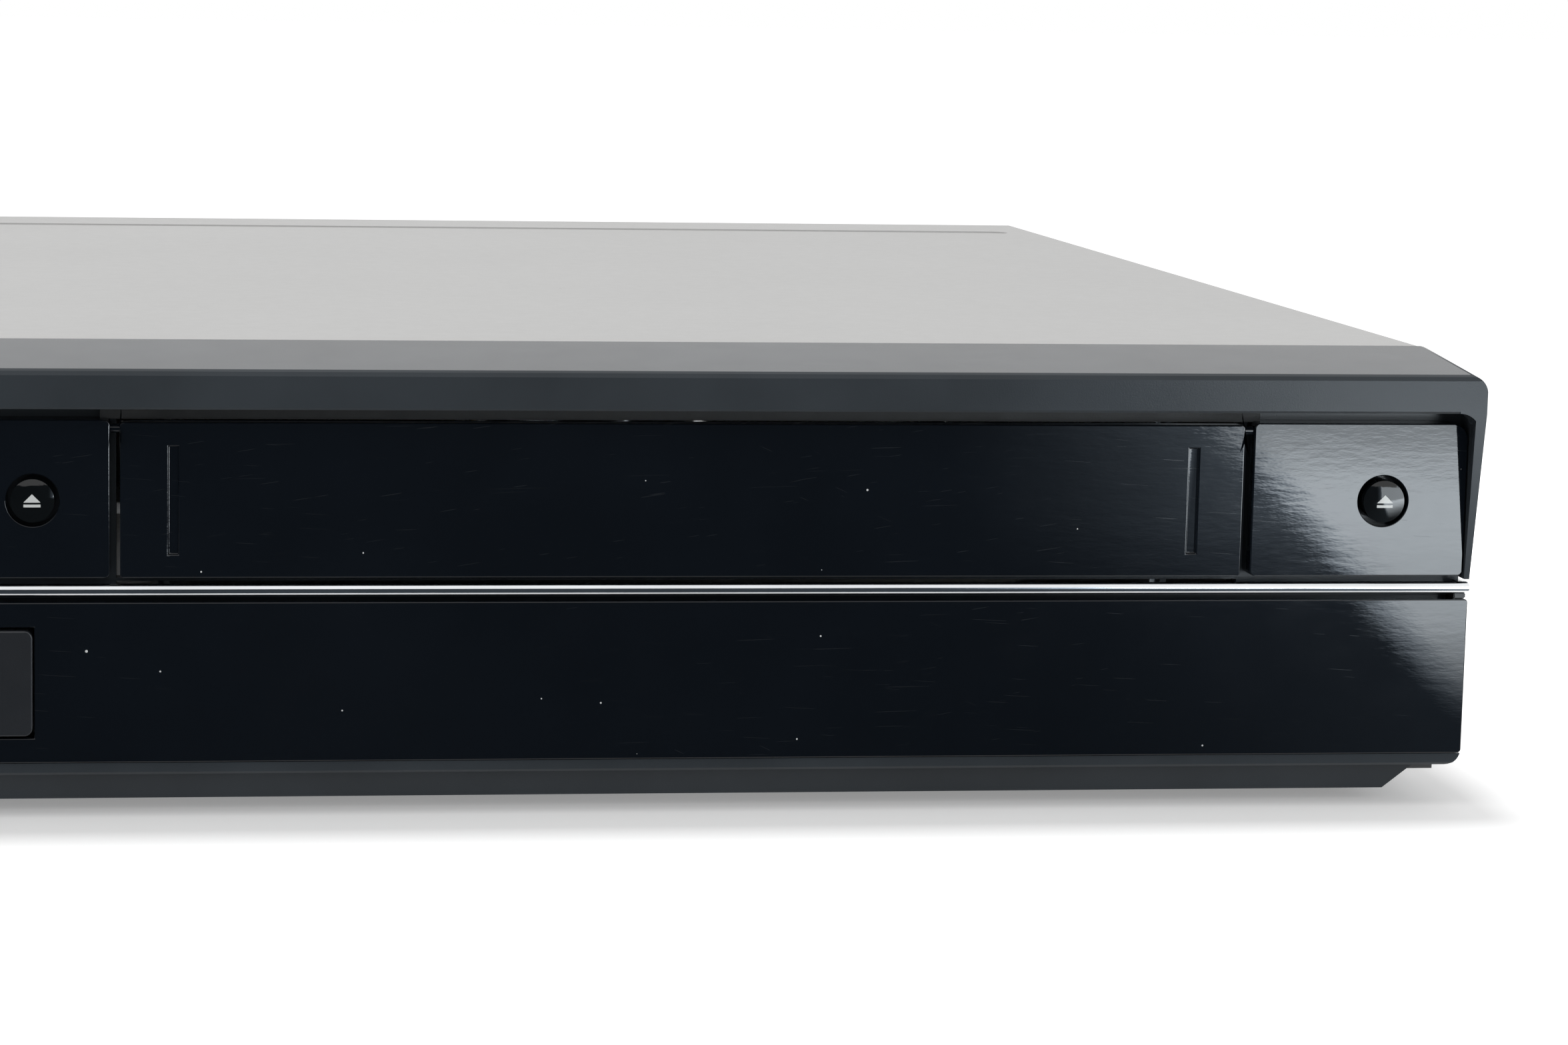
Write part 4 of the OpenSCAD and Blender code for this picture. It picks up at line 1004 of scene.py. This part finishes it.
@dataclass
class Stage:
    """The pale floor, the soft light, the dark and bright cards that gloss surfaces see, and the camera.

    Sizes are in metres, and angles in degrees.
    """

    lens: float = 70.45
    place: Point = (-6.93 * MM, -716 * MM, 144.95 * MM)
    yaw: float = 5.321
    pitch: float = -5.735
    roll: float = 0.881
    shift: Pair = (0.15, -0.13)
    ambient: float = 0.72
    floor_level: float = 0.8
    floor_half: float = 30.0
    foot_print: Pair = (0.215, 0.18)
    floor_near: Span = (0.003, 0.019, 0.26, 0.76)
    floor_far: Span = (0.019, 0.06, 0.0, 0.45)
    floor_out: Span = (0.08, 0.30, 0.0, -0.70)
    front: float = -174.5 * MM
    card_half: float = 1.5
    card_depths: Pair = (0.020, 2.5)
    card_height: float = 2 * MM
    upright_depth: float = 0.75
    upright_heights: Pair = (0.004, 0.30)
    window_level: float = 9.0
    window_lean: float = 0.2
    window_edge: Span = (0.225, 0.237, 0.0, 1.0)
    window_near: Span = (0.06, 0.17, 0.0, 0.85)
    window_middle: Span = (0.17, 0.30, 1.0, 1.18)
    window_far: Span = (0.38, 0.50, 1.0, 0.45)
    haze_across: Span = (0.12, 0.219, 0.0, 1.0)
    haze_ahead: Span = (0.18, 0.32, 0.12, 0.95)
    room: Span = (-0.45, 0.0, 0.03, 0.054)
    room_tone: Colour = (0.74, 0.89, 1.05)
    window_tone: Colour = (0.86, 0.94, 1.0)
    lamp_energy: float = 5.5
    lamp_size: Pair = (1.6, 1.4)
    lamp_place: Point = (-0.50, -0.35, 1.45)
    lamp_turn: Point = (-10.0, -16.0, 0.0)

    def camera(self) -> None:
        """Sets the camera."""
        yaw, pitch, roll = (math.radians(a) for a in (self.yaw, self.pitch, self.roll))
        ahead = Vector((math.sin(yaw) * math.cos(pitch), math.cos(yaw) * math.cos(pitch), math.sin(pitch)))
        right = Vector((math.cos(yaw), -math.sin(yaw), 0.0))
        up = right.cross(ahead)
        across = right * math.cos(roll) + up * math.sin(roll)
        over = up * math.cos(roll) - right * math.sin(roll)
        data = bpy.data.cameras.new("camera")
        data.lens = self.lens
        data.sensor_width = 36.0
        data.shift_x, data.shift_y = self.shift
        data.clip_start, data.clip_end = 0.01, 100.0
        camera = bpy.data.objects.new("camera", data)
        turn = Matrix((across, over, -ahead)).transposed().to_4x4()
        camera.matrix_world = Matrix.Translation(self.place) @ turn
        bpy.context.scene.collection.objects.link(camera)
        bpy.context.scene.camera = camera

    def world(self) -> None:
        """A white surround that lights the player at a plain level."""
        world = bpy.data.worlds.new("surround")
        world.use_nodes = True
        sky = Wiring(world.node_tree)
        back = world.node_tree.nodes["Background"].inputs
        back["Color"].default_value = rgba(grey(1.0))
        level = sky.ramp(sky.seen_or_mirrored(), 0.0, 1.0, self.ambient, 1.0)
        sky.tree.links.new(level, back["Strength"])
        bpy.context.scene.world = world

    def _floor_material(self) -> Material:
        """A matt pale floor that comes up to white away from the player, and keeps its shadow.

        Returns:
            The material.
        """
        s = Shader("floor", grey(self.floor_level), 1.0)
        spot = s.node("ShaderNodeSeparateXYZ", {0: s.place}).outputs
        outside = []
        for axis, half in zip("XY", self.foot_print):
            past = s.calc("SUBTRACT", s.calc("ABSOLUTE", spot[axis]), half)
            outside.append(s.calc("MAXIMUM", past, 0.0))
        away = s.calc("SQRT", s.calc("ADD", *(s.calc("MULTIPLY", d, d) for d in outside)))
        near, far, out = (s.ramp(away, *span) for span in (self.floor_near, self.floor_far, self.floor_out))
        lift = s.calc("MULTIPLY", s.calc("ADD", s.calc("ADD", near, far), out), s.seen_or_mirrored())
        matt = s.node("ShaderNodeBsdfDiffuse", {"Color": rgba(grey(self.floor_level))})
        glow = s.node("ShaderNodeEmission", {"Strength": lift})
        s.end_in(s.node("ShaderNodeAddShader", {0: matt.outputs[0], 1: glow.outputs[0]}).outputs[0])
        return s.material

    def _card_material(self) -> Material:
        """A dark room before the front, whose right end comes up softly to a bright window.

        Returns:
            The material.
        """
        s = Shader("front_card", grey(0.0), 1.0)
        spot = s.node("ShaderNodeSeparateXYZ", {0: s.place}).outputs
        ahead = s.calc("SUBTRACT", self.front, spot["Y"])
        right = s.calc("SUBTRACT", spot["X"], s.calc("MULTIPLY", ahead, self.window_lean))
        share = s.ramp(right, *self.window_edge)
        window = s.calc("MULTIPLY", s.ramp(ahead, *self.window_near), s.ramp(ahead, *self.window_middle))
        window = s.calc("MULTIPLY", window, s.ramp(ahead, *self.window_far))
        window = s.calc("MULTIPLY", s.calc("MULTIPLY", share, window), self.window_level)
        near = s.ramp(right, *self.haze_across)
        haze = s.calc("MULTIPLY", s.calc("MULTIPLY", near, near), s.ramp(ahead, *self.haze_ahead))
        haze = s.calc("ADD", haze, s.ramp(right, *self.room))
        tone = s.blend(share, self.room_tone, self.window_tone)
        glow = s.node("ShaderNodeEmission", {"Color": tone, "Strength": s.calc("ADD", window, haze)})
        s.end_in(glow.outputs[0])
        return s.material

    def _sheet(self, name: str, half: float, near: Pair, far: Pair, material: Material) -> Piece:
        """A flat card of the stage, between two level edges.

        Args:
            name: The sheet's name.
            half: Half its width.
            near: The depth and height of its near edge.
            far: The depth and height of its far edge.
            material: Its material.

        Returns:
            The sheet.
        """
        shape = bmesh.new()
        edges = [(-half, near), (half, near), (half, far), (-half, far)]
        shape.faces.new([shape.verts.new((x, *edge)) for x, edge in edges])
        sheet = new_piece(name, shape, material)
        return sheet

    def floor(self) -> None:
        """Lays the floor."""
        self._sheet("floor", self.floor_half, (-self.floor_half, 0), (self.floor_half, 0), self._floor_material())

    def cards(self) -> None:
        """Cards that only mirrored rays meet, before the front."""
        material = self._card_material()
        near, far = (self.front - depth for depth in self.card_depths)
        back = self.front - self.upright_depth
        low, high = ((back, height) for height in self.upright_heights)
        sheets = [
            self._sheet("floor_card", self.card_half, (near, self.card_height), (far, self.card_height), material),
            self._sheet("upright_card", self.card_half, low, high, material),
        ]
        for sheet in sheets:
            sheet.visible_camera = False
            sheet.visible_diffuse = False
            sheet.visible_shadow = False
            sheet.visible_transmission = False

    def lamp(self) -> None:
        """Hangs the wide lamp overhead, which shiny surfaces don't mirror."""
        data = bpy.data.lights.new("overhead", "AREA")
        data.shape = "RECTANGLE"
        data.size, data.size_y = self.lamp_size
        data.energy = self.lamp_energy
        lamp = bpy.data.objects.new("overhead", data)
        lamp.location = self.lamp_place
        lamp.rotation_euler = tuple(math.radians(a) for a in self.lamp_turn)
        lamp.visible_glossy = False
        bpy.context.scene.collection.objects.link(lamp)

    def build(self) -> None:
        """Sets the whole stage."""
        for step in (self.camera, self.world, self.floor, self.cards, self.lamp):
            step()
        LOG.info("set the stage")


@dataclass
class Shell:
    """The cover, the chassis, the rear panel, the feet and the screws, with sizes in millimetres."""

    shop: Workshop
    cover_ease: float = 0.25
    side_screws: tuple[Point, ...] = ((213.5, -84.5, 16.5), (213.5, 85.5, 16.5))
    rear_screws: tuple[Point, ...] = ((-150, 170.5, 77), (0, 170.5, 77), (150, 170.5, 77))
    screw_head: Pair = (3.0, 1.2)
    screw_shank: Pair = (1.45, 5.0)
    screw_turn: float = 40.0
    # the zone of painted shade on the chassis's front edge, in millimetres
    painted_shade_half: float = 220.0
    painted_shade_top: float = 12.0
    painted_shade_depth: float = 0.1

    def screws(self) -> None:
        """Makes seven screws with cross recesses, in place of the plain ones."""
        spots = [Spot((s * x, y, z), (0, 90 * s, 0)) for x, y, z in self.side_screws for s in (-1, 1)]
        spots += [Spot(place, (-90, 0, 0)) for place in self.rear_screws]
        screw = cross_screw(*self.screw_head, *self.screw_shank)
        finish = self.shop.finishes["screw_steel"]
        piece = self.shop.repeater.lay("screws.cross", screw, spots, finish, jitter=self.screw_turn, seed=4)
        self.shop.settle(piece, "screws", replaces=True)

    def chassis(self) -> None:
        """Paints shade on the chassis's front edge where it looks out below the plinth: a black zone that stands for
        the shadow there.
        """
        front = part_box("chassis_base")[0].y / MM
        low = (-self.painted_shade_half, front - self.painted_shade_depth, 0)
        high = (self.painted_shade_half, front + self.painted_shade_depth, self.painted_shade_top)
        # painted shade: the front edge turns black where it would show below the plinth
        self.shop.zoned("chassis_base", [Zone("part_black", low, high)])

    def build(self) -> None:
        """Dresses the shell."""
        self.shop.eased("top_cover", self.cover_ease * MM, clamp=True)
        self.shop.carry_over("rear_panel", "board_spacers", "feet")
        self.chassis()
        self.screws()


@dataclass
class FrontPanel:
    """The bezel, the gloss panels, the bright strip and what stands behind them, with sizes in millimetres."""

    shop: Workshop
    bezel_ease: float = 0.3
    panel_ease: float = 0.22
    strip_ease: float = 0.12
    sockets: tuple[Point, ...] = ((-196, -174.5, 24.7), (-178, -174.5, 24.7), (-160, -174.5, 24.7))
    rings: tuple[Ring, ...] = ((4.25, 5.05, -1.5, 0.5), (1.72, 3.45, 3.2, 3.7))
    felt_inset: float = 0.6
    felt_behind: Pair = (3.2, 4.9)
    felt_above: Pair = (0.2, 2.9)
    seam_across: Pair = (212.6, 214.8)
    seam_depths: Pair = (-173.8, -169.6)
    seam_play: float = 0.05
    seam_ease: float = 0.15

    def socket_trim(self) -> None:
        """Makes the coloured rings in the three front sockets."""
        for place, name in zip(self.sockets, ("ring_yellow", "ring_white", "ring_red")):
            finish, spots = self.shop.finishes[name], [Spot(place, (90, 0, 0))]
            piece = self.shop.repeater.lay(f"front.{name}", washers(self.rings), spots, finish)
            self.shop.settle(piece, "front_jacks")

    def felt(self) -> None:
        """Makes the felt strip under the hood, above the tape door."""
        low, high = (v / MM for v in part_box("vcr_door"))
        (near, far), (bottom, top) = self.felt_behind, self.felt_above
        strip = bmesh.new()
        box_into(
            strip,
            (low.x + self.felt_inset, low.y + near, high.z + bottom),
            (high.x - self.felt_inset, low.y + far, high.z + top),
        )
        piece = new_piece("front_bezel.felt", strip, self.shop.finishes["foot_rubber"])
        self.shop.settle(piece, "front_bezel")

    def seam_ends(self) -> None:
        """Closes both ends of the seam between the bright strip and the lower panel."""
        (inner, outer), (near, far) = self.seam_across, self.seam_depths
        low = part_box("lower_fascia")[1].z / MM + self.seam_play
        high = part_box("chrome_strip")[0].z / MM - self.seam_play
        ends = [((s * inner, near, low), (s * outer, far, high)) for s in (-1, 1)]
        piece = new_piece("front_bezel.seam_ends", boxes(ends, self.seam_ease), self.shop.finishes["part_black"])
        self.shop.settle(piece, "front_bezel")

    def build(self) -> None:
        """Dresses the front."""
        self.shop.eased("front_bezel", self.bezel_ease * MM, clamp=True)
        for node in ("left_fascia", "right_fascia", "lower_fascia", "vcr_door", "tray_front"):
            self.shop.eased(node, self.panel_ease * MM)
        self.shop.eased("chrome_strip", self.strip_ease * MM)
        self.shop.carry_over("front_boards", "key_switches", "display_module", "front_jacks")
        self.socket_trim()
        self.felt()
        self.seam_ends()


@dataclass
class Controls:
    """The round buttons, the small keys and the rocker, with their signs."""

    shop: Workshop
    key_ease: float = 0.25 * MM
    dome: float = 12.0 * MM
    proud: float = 0.05 * MM
    sign_depth: float = 0.15 * MM
    round_sign: Pair = (1.66 * MM, 1.42 * MM)
    key_sign: Pair = (1.6 * MM, 1.6 * MM)
    round_signs: tuple[tuple[str, Symbol], ...] = (
        ("eject_button", Symbol.EJECT), ("open_button", Symbol.EJECT), ("power_button", Symbol.POWER),
    )
    key_signs: tuple[tuple[str, Symbol], ...] = (
        ("rewind_key", Symbol.REWIND), ("play_key", Symbol.PLAY), ("forward_key", Symbol.FORWARD),
        ("stop_key", Symbol.STOP), ("record_key", Symbol.RECORD),
    )

    def _sign(self, node: str, symbol: Symbol, size: Pair, domed: bool) -> None:
        """Makes a thin raised sign on the face of a control.

        Args:
            node: The control.
            symbol: The sign.
            size: Half the sign's width and height, in metres.
            domed: Whether the face is part of a ball.
        """
        low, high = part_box(node)
        middle = (low + high) / 2
        shape = bmesh.new()
        for outline in symbol.outlines():
            face = shape.faces.new([shape.verts.new((x * size[0], 0, z * size[1])) for x, z in outline])
            bmesh.ops.triangulate(shape, faces=[face], ngon_method="EAR_CLIP")
        if domed:
            bmesh.ops.subdivide_edges(shape, edges=shape.edges, cuts=3, use_grid_fill=True)
            bmesh.ops.triangulate(shape, faces=shape.faces)
        for vert in shape.verts:
            x, _, z = vert.co
            sunk = self.dome - math.sqrt(self.dome**2 - x * x - z * z) if domed else 0.0
            vert.co = (middle.x + x, low.y + sunk - self.proud, middle.z + z)
        thicken(shape, self.sign_depth)
        piece = new_piece(f"{node}.sign", shape, self.shop.finishes["symbol_ink"], degrees=60)
        self.shop.settle(piece, node)

    def build(self) -> None:
        """Dresses the controls."""
        self.shop.carry_over("eject_button", "power_button", "open_button")
        for node in ("rewind_key", "play_key", "forward_key", "stop_key", "record_key", "channel_rocker"):
            self.shop.eased(node, self.key_ease)
        for node, symbol in self.round_signs:
            self._sign(node, symbol, self.round_sign, domed=True)
        for node, symbol in self.key_signs:
            self._sign(node, symbol, self.key_sign, domed=False)


@dataclass
class DiscDrive:
    """The disc tray and all that moves and reads the disc, with sizes in millimetres."""

    shop: Workshop
    lens_place: Point = (-125, -74, 47.95)
    coil_low: Point = (7, -3.2, -1.5)
    coil_high: Point = (10, 3.2, -0.2)
    coil_ease: float = 0.5

    def lens(self) -> None:
        """Makes the pickup's lens in its black holder, between two coils, on the pickup's post."""
        holder = turned([(0, -0.3), (3.9, -0.3), (3.9, 0.3), (3.6, 0.5), (2.75, 0.5), (2.6, 0.3), (0, 0.3)], 40)
        glass = turned([(0, 0.2), (2.55, 0.2), (2.5, 0.42), (2.0, 0.72), (1.2, 0.93), (0, 1.0)], 40)
        (inner, *low), (outer, *high) = self.coil_low, self.coil_high
        coils = boxes([((s * inner, *low), (s * outer, *high)) for s in (-1, 1)], self.coil_ease)
        parts = (("holder", holder, "part_black"), ("lens", glass, "lens_glass"), ("coils", coils, "coil_copper"))
        for name, shape, finish in parts:
            bmesh.ops.translate(shape, verts=shape.verts, vec=Vector(self.lens_place) * MM)
            piece = new_piece(f"optical_pickup.{name}", shape, self.shop.finishes[finish])
            self.shop.settle(piece, "optical_pickup")

    def build(self) -> None:
        """Dresses the drive."""
        self.lens()
        self.shop.carry_over(
            "drive_frame", "disc_tray", "clamp_bridge", "disc_clamp", "traverse", "traverse_motors", "turntable",
            "optical_pickup", "guide_rods", "sled_screw", "tray_gear", "gear_motors", "motor_pulley", "tray_belt",
        )


@dataclass
class TapeDeck:
    """The cassette holder, the drum, the reels and the tape's guides."""

    shop: Workshop

    def build(self) -> None:
        """Dresses the deck."""
        self.shop.carry_over(
            "deck_plate", "lower_drum", "upper_drum", "capstan_housing", "capstan", "supply_reel", "takeup_reel",
            "supply_guide", "takeup_guide", "tape_heads", "pinch_arm", "pinch_roller", "cassette_holder",
            "loading_pinion", "cam_gear",
        )


@dataclass(frozen=True)
class Grid:
    """Rows of small components on a board: the first and last place along X and Y, and how many."""

    xs: tuple[float, float, int]
    ys: tuple[float, float, int]

    def spots(self, start: int, height: float, turn: float) -> list[Spot]:
        """Every third place, from one of the grid's three starts.

        Args:
            start: Which start.
            height: The board's upper face.
            turn: The turn about Z, in degrees.

        Returns:
            The spots.
        """
        (x0, x1, across), (y0, y1, along) = self.xs, self.ys
        return [
            Spot((x0 + (x1 - x0) * i / (across - 1), y0 + (y1 - y0) * j / (along - 1), height), (0, 0, turn))
            for i in range(across) for j in range(along) if (i + 2 * j) % 3 == start
        ]


@dataclass
class Electronics:
    """The boards with their small components, the transformer and the rear sockets, with sizes in millimetres."""

    shop: Workshop
    board_top: float = 14.1
    main_parts: tuple[Zone, ...] = (
        Zone("zinc_steel", (91.9, 71.4, 14.15), (146.1, 112.6, 26.3)),  # shielded circuit
        Zone("zinc_steel", (109.9, 122.4, 14.15), (164.1, 168.6, 43.0)),  # tuner
        Zone("jack_metal", (110.0, 168.55, 20.0), (165.0, 180.0, 40.0)),  # aerial studs
        Zone("can_sleeve", (-31.2, 122.4, 14.15), (11.2, 128.6, 25.3)),  # five small capacitors
    )
    power_parts: tuple[Zone, ...] = (
        Zone("can_sleeve", (-159.2, 48.4, 14.15), (-140.8, 90.6, 40.3)),  # two large capacitors
        Zone("can_sleeve", (-103.2, 105.3, 14.15), (-64.8, 142.7, 32.3)),  # three capacitors
        Zone("drum_metal", (-186.1, 47.4, 14.15), (-165.9, 63.6, 46.3)),  # heat sink
    )
    main_grids: tuple[Grid, ...] = (
        Grid((-32, 8, 4), (103, 113, 2)), Grid((-32, 8, 4), (134, 154, 3)),
        Grid((34, 84, 5), (106, 146, 5)), Grid((172, 190, 2), (106, 154, 5)),
    )
    power_grids: tuple[Grid, ...] = (Grid((-190, -142, 4), (108, 134, 3)),)
    disc_turn: float = 25.0
    chips: tuple[Point, ...] = ((-20, 87.5, 24), (20, 93.5, 18), (58, 83.5, 14), (170, 87.5, 20))
    chip_height: float = 3.2
    chip_play: float = 0.1
    leg_pitch: float = 1.27
    leg_width: float = 0.4
    leg_margin: float = 3.0
    socket_xs: tuple[float, ...] = (26.0, 40.0, 54.0, 68.0, 82.0)
    socket_rows: Pair = (25.5, 41.5)
    socket_rings: tuple[Ring, ...] = ((4.25, 5.0, 1.4, 2.0), (1.72, 3.45, 8.7, 9.2))
    rear: float = 168.5
    core: Point = (-106.0, 71.5, 14.1)
    plates: int = 25
    plate_pitch: float = 1.44
    first_plate: float = -17.3
    plate: tuple[Point, Point] = ((-22, -0.62, 0), (22, 0.62, 30))
    plate_ease: float = 0.12
    coil: tuple[Point, Point] = ((-26.4, -11.6, 0.4), (26.4, 11.6, 21.6))
    coil_ease: float = 2.5
    flange: tuple[Point, Point] = ((26.2, -12, 0), (28, 12, 22))

    def socket_trim(self) -> None:
        """Makes the coloured rings of the ten rear sockets: video on the left, then pairs of audio."""
        first, *others = self.socket_xs
        low, high = self.socket_rows
        layout = {
            "ring_yellow": [(first, low), (first, high)],
            "ring_white": [(x, high) for x in others],
            "ring_red": [(x, low) for x in others],
        }
        for name, places in layout.items():
            finish, spots = self.shop.finishes[name], [Spot((x, self.rear, z), (-90, 0, 0)) for x, z in places]
            piece = self.shop.repeater.lay(f"rear.{name}", washers(self.socket_rings), spots, finish)
            self.shop.settle(piece, "rear_jacks")

    def boards(self) -> None:
        """Gives the two large boards the finish of each large component on them."""
        foot = self.board_top + self.chip_play / 2
        chips = []
        for x, y, width in self.chips:
            half = width / 2 + self.chip_play
            chips.append(Zone("part_black", (x - half, y - half, foot), (x + half, y + half, foot + self.chip_height)))
        self.shop.zoned("main_board", chips + list(self.main_parts))
        self.shop.zoned("power_board", list(self.power_parts))

    def _resistor(self) -> Shape:
        """A resistor that lies across, on bent legs.

        Returns:
            The shape, in metres.
        """
        half = [(0, -5), (0.3, -5), (0.3, -3.1), (0.9, -3.1), (1.15, -2.8), (1.15, -1.9), (0.95, -1.7)]
        shape = turned(half + [(r, -z) for r, z in reversed(half)], 12)
        tip_over(shape, "Y", 1.3)
        legs_into(shape, 4.85, 0.25, -0.4, 1.5)
        return shape

    def _can(self) -> Shape:
        """A small upright capacitor with its rolled edge.

        Returns:
            The shape, in metres.
        """
        foot = [(0, -0.1), (2.9, -0.1), (3.0, 0.2), (3.0, 0.9), (2.75, 1.1), (2.75, 1.35), (3.0, 1.55)]
        return turned(foot + [(3.0, 6.8), (2.8, 7.0), (2.2, 7.05), (2.1, 6.9), (0, 6.9)], 20)

    def _disc(self) -> Shape:
        """A ceramic disc that stands on two legs.

        Returns:
            The shape, in metres.
        """
        shape = turned([(0, -0.9), (1.6, -0.85), (2.3, -0.5), (2.5, 0), (2.3, 0.5), (1.6, 0.85), (0, 0.9)], 20)
        tip_over(shape, "X", 3.6)
        legs_into(shape, 1.2, 0.22, -0.4, 2.2)
        return shape

    def components(self) -> None:
        """Makes the resistors, small cans and ceramic discs on both large boards."""
        kinds = (
            ("resistors", self._resistor, "resistor_coat", 90.0, 0.0),
            ("cans", self._can, "can_sleeve", 0.0, 0.0),
            ("discs", self._disc, "disc_coat", 0.0, self.disc_turn),
        )
        for node, grids in (("main_board", self.main_grids), ("power_board", self.power_grids)):
            for start, (name, model, finish, turn, jitter) in enumerate(kinds):
                spots = [spot for grid in grids for spot in grid.spots(start, self.board_top, turn)]
                piece = self.shop.repeater.lay(
                    f"{node}.{name}", model(), spots, self.shop.finishes[finish], jitter=jitter, seed=7 + start
                )
                self.shop.settle(piece, node)

    def chip_legs(self) -> None:
        """Makes the bent legs along all four sides of each chip."""
        outer = [(-0.2, 1.3), (0.5, 1.3), (0.9, 0.25), (1.5, 0.25)]
        inner = [(1.5, -0.05), (0.75, -0.05), (0.35, 1.05), (-0.2, 1.05)]
        leg = bmesh.new()
        leg.faces.new([leg.verts.new((x * MM, -self.leg_width / 2 * MM, z * MM)) for x, z in outer + inner])
        thicken(leg, self.leg_width * MM)
        spots = []
        for x, y, width in self.chips:
            count = int((width - self.leg_margin) / self.leg_pitch)
            for side in range(4):
                cosine, sine = math.cos(math.radians(90 * side)), math.sin(math.radians(90 * side))
                for i in range(count):
                    along = (i - (count - 1) / 2) * self.leg_pitch
                    dx, dy = cosine * width / 2 - sine * along, sine * width / 2 + cosine * along
                    spots.append(Spot((x + dx, y + dy, self.board_top), (0, 0, 90 * side)))
        piece = self.shop.repeater.lay("main_board.legs", leg, spots, self.shop.finishes["tinned_leg"])
        self.shop.settle(piece, "main_board")

    def transformer(self) -> None:
        """Makes the transformer: a core of stacked plates round a taped coil on its bobbin."""
        x, y, z = self.core
        plate = boxes([self.plate], self.plate_ease, 1)
        spots = [Spot((x, y + self.first_plate + self.plate_pitch * i, z)) for i in range(self.plates)]
        core = self.shop.repeater.lay("transformer.plates", plate, spots, self.shop.finishes["core_steel"])
        self.shop.settle(core, "transformer", replaces=True)
        coil = boxes([self.coil], self.coil_ease, 4)
        for side in (-1, 1):
            box_into(coil, *((side * a, b, c) for a, b, c in self.flange))
        bmesh.ops.translate(coil, verts=coil.verts, vec=Vector(self.core) * MM)
        piece = new_piece("transformer.coil", coil, self.shop.finishes["coil_tape"], degrees=40)
        self.shop.settle(piece, "transformer")

    def build(self) -> None:
        """Dresses the electronics."""
        self.shop.carry_over("mains_inlet", "rear_jacks")
        for step in (self.boards, self.socket_trim, self.components, self.chip_legs, self.transformer):
            step()


def main() -> None:
    """Builds the player, one sub-assembly after the other."""
    logging.basicConfig(level=logging.INFO, format="%(name)s: %(message)s")
    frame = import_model()
    bpy.context.scene.view_settings.view_transform = "Standard"
    Stage().build()
    shop = Workshop(frame, Finishes(), Repeater())
    for assembly in (Shell, FrontPanel, Controls, DiscDrive, TapeDeck, Electronics):
        assembly(shop).build()
        LOG.info("finished %s", assembly.__name__)


if __name__ == "__main__":
    main()
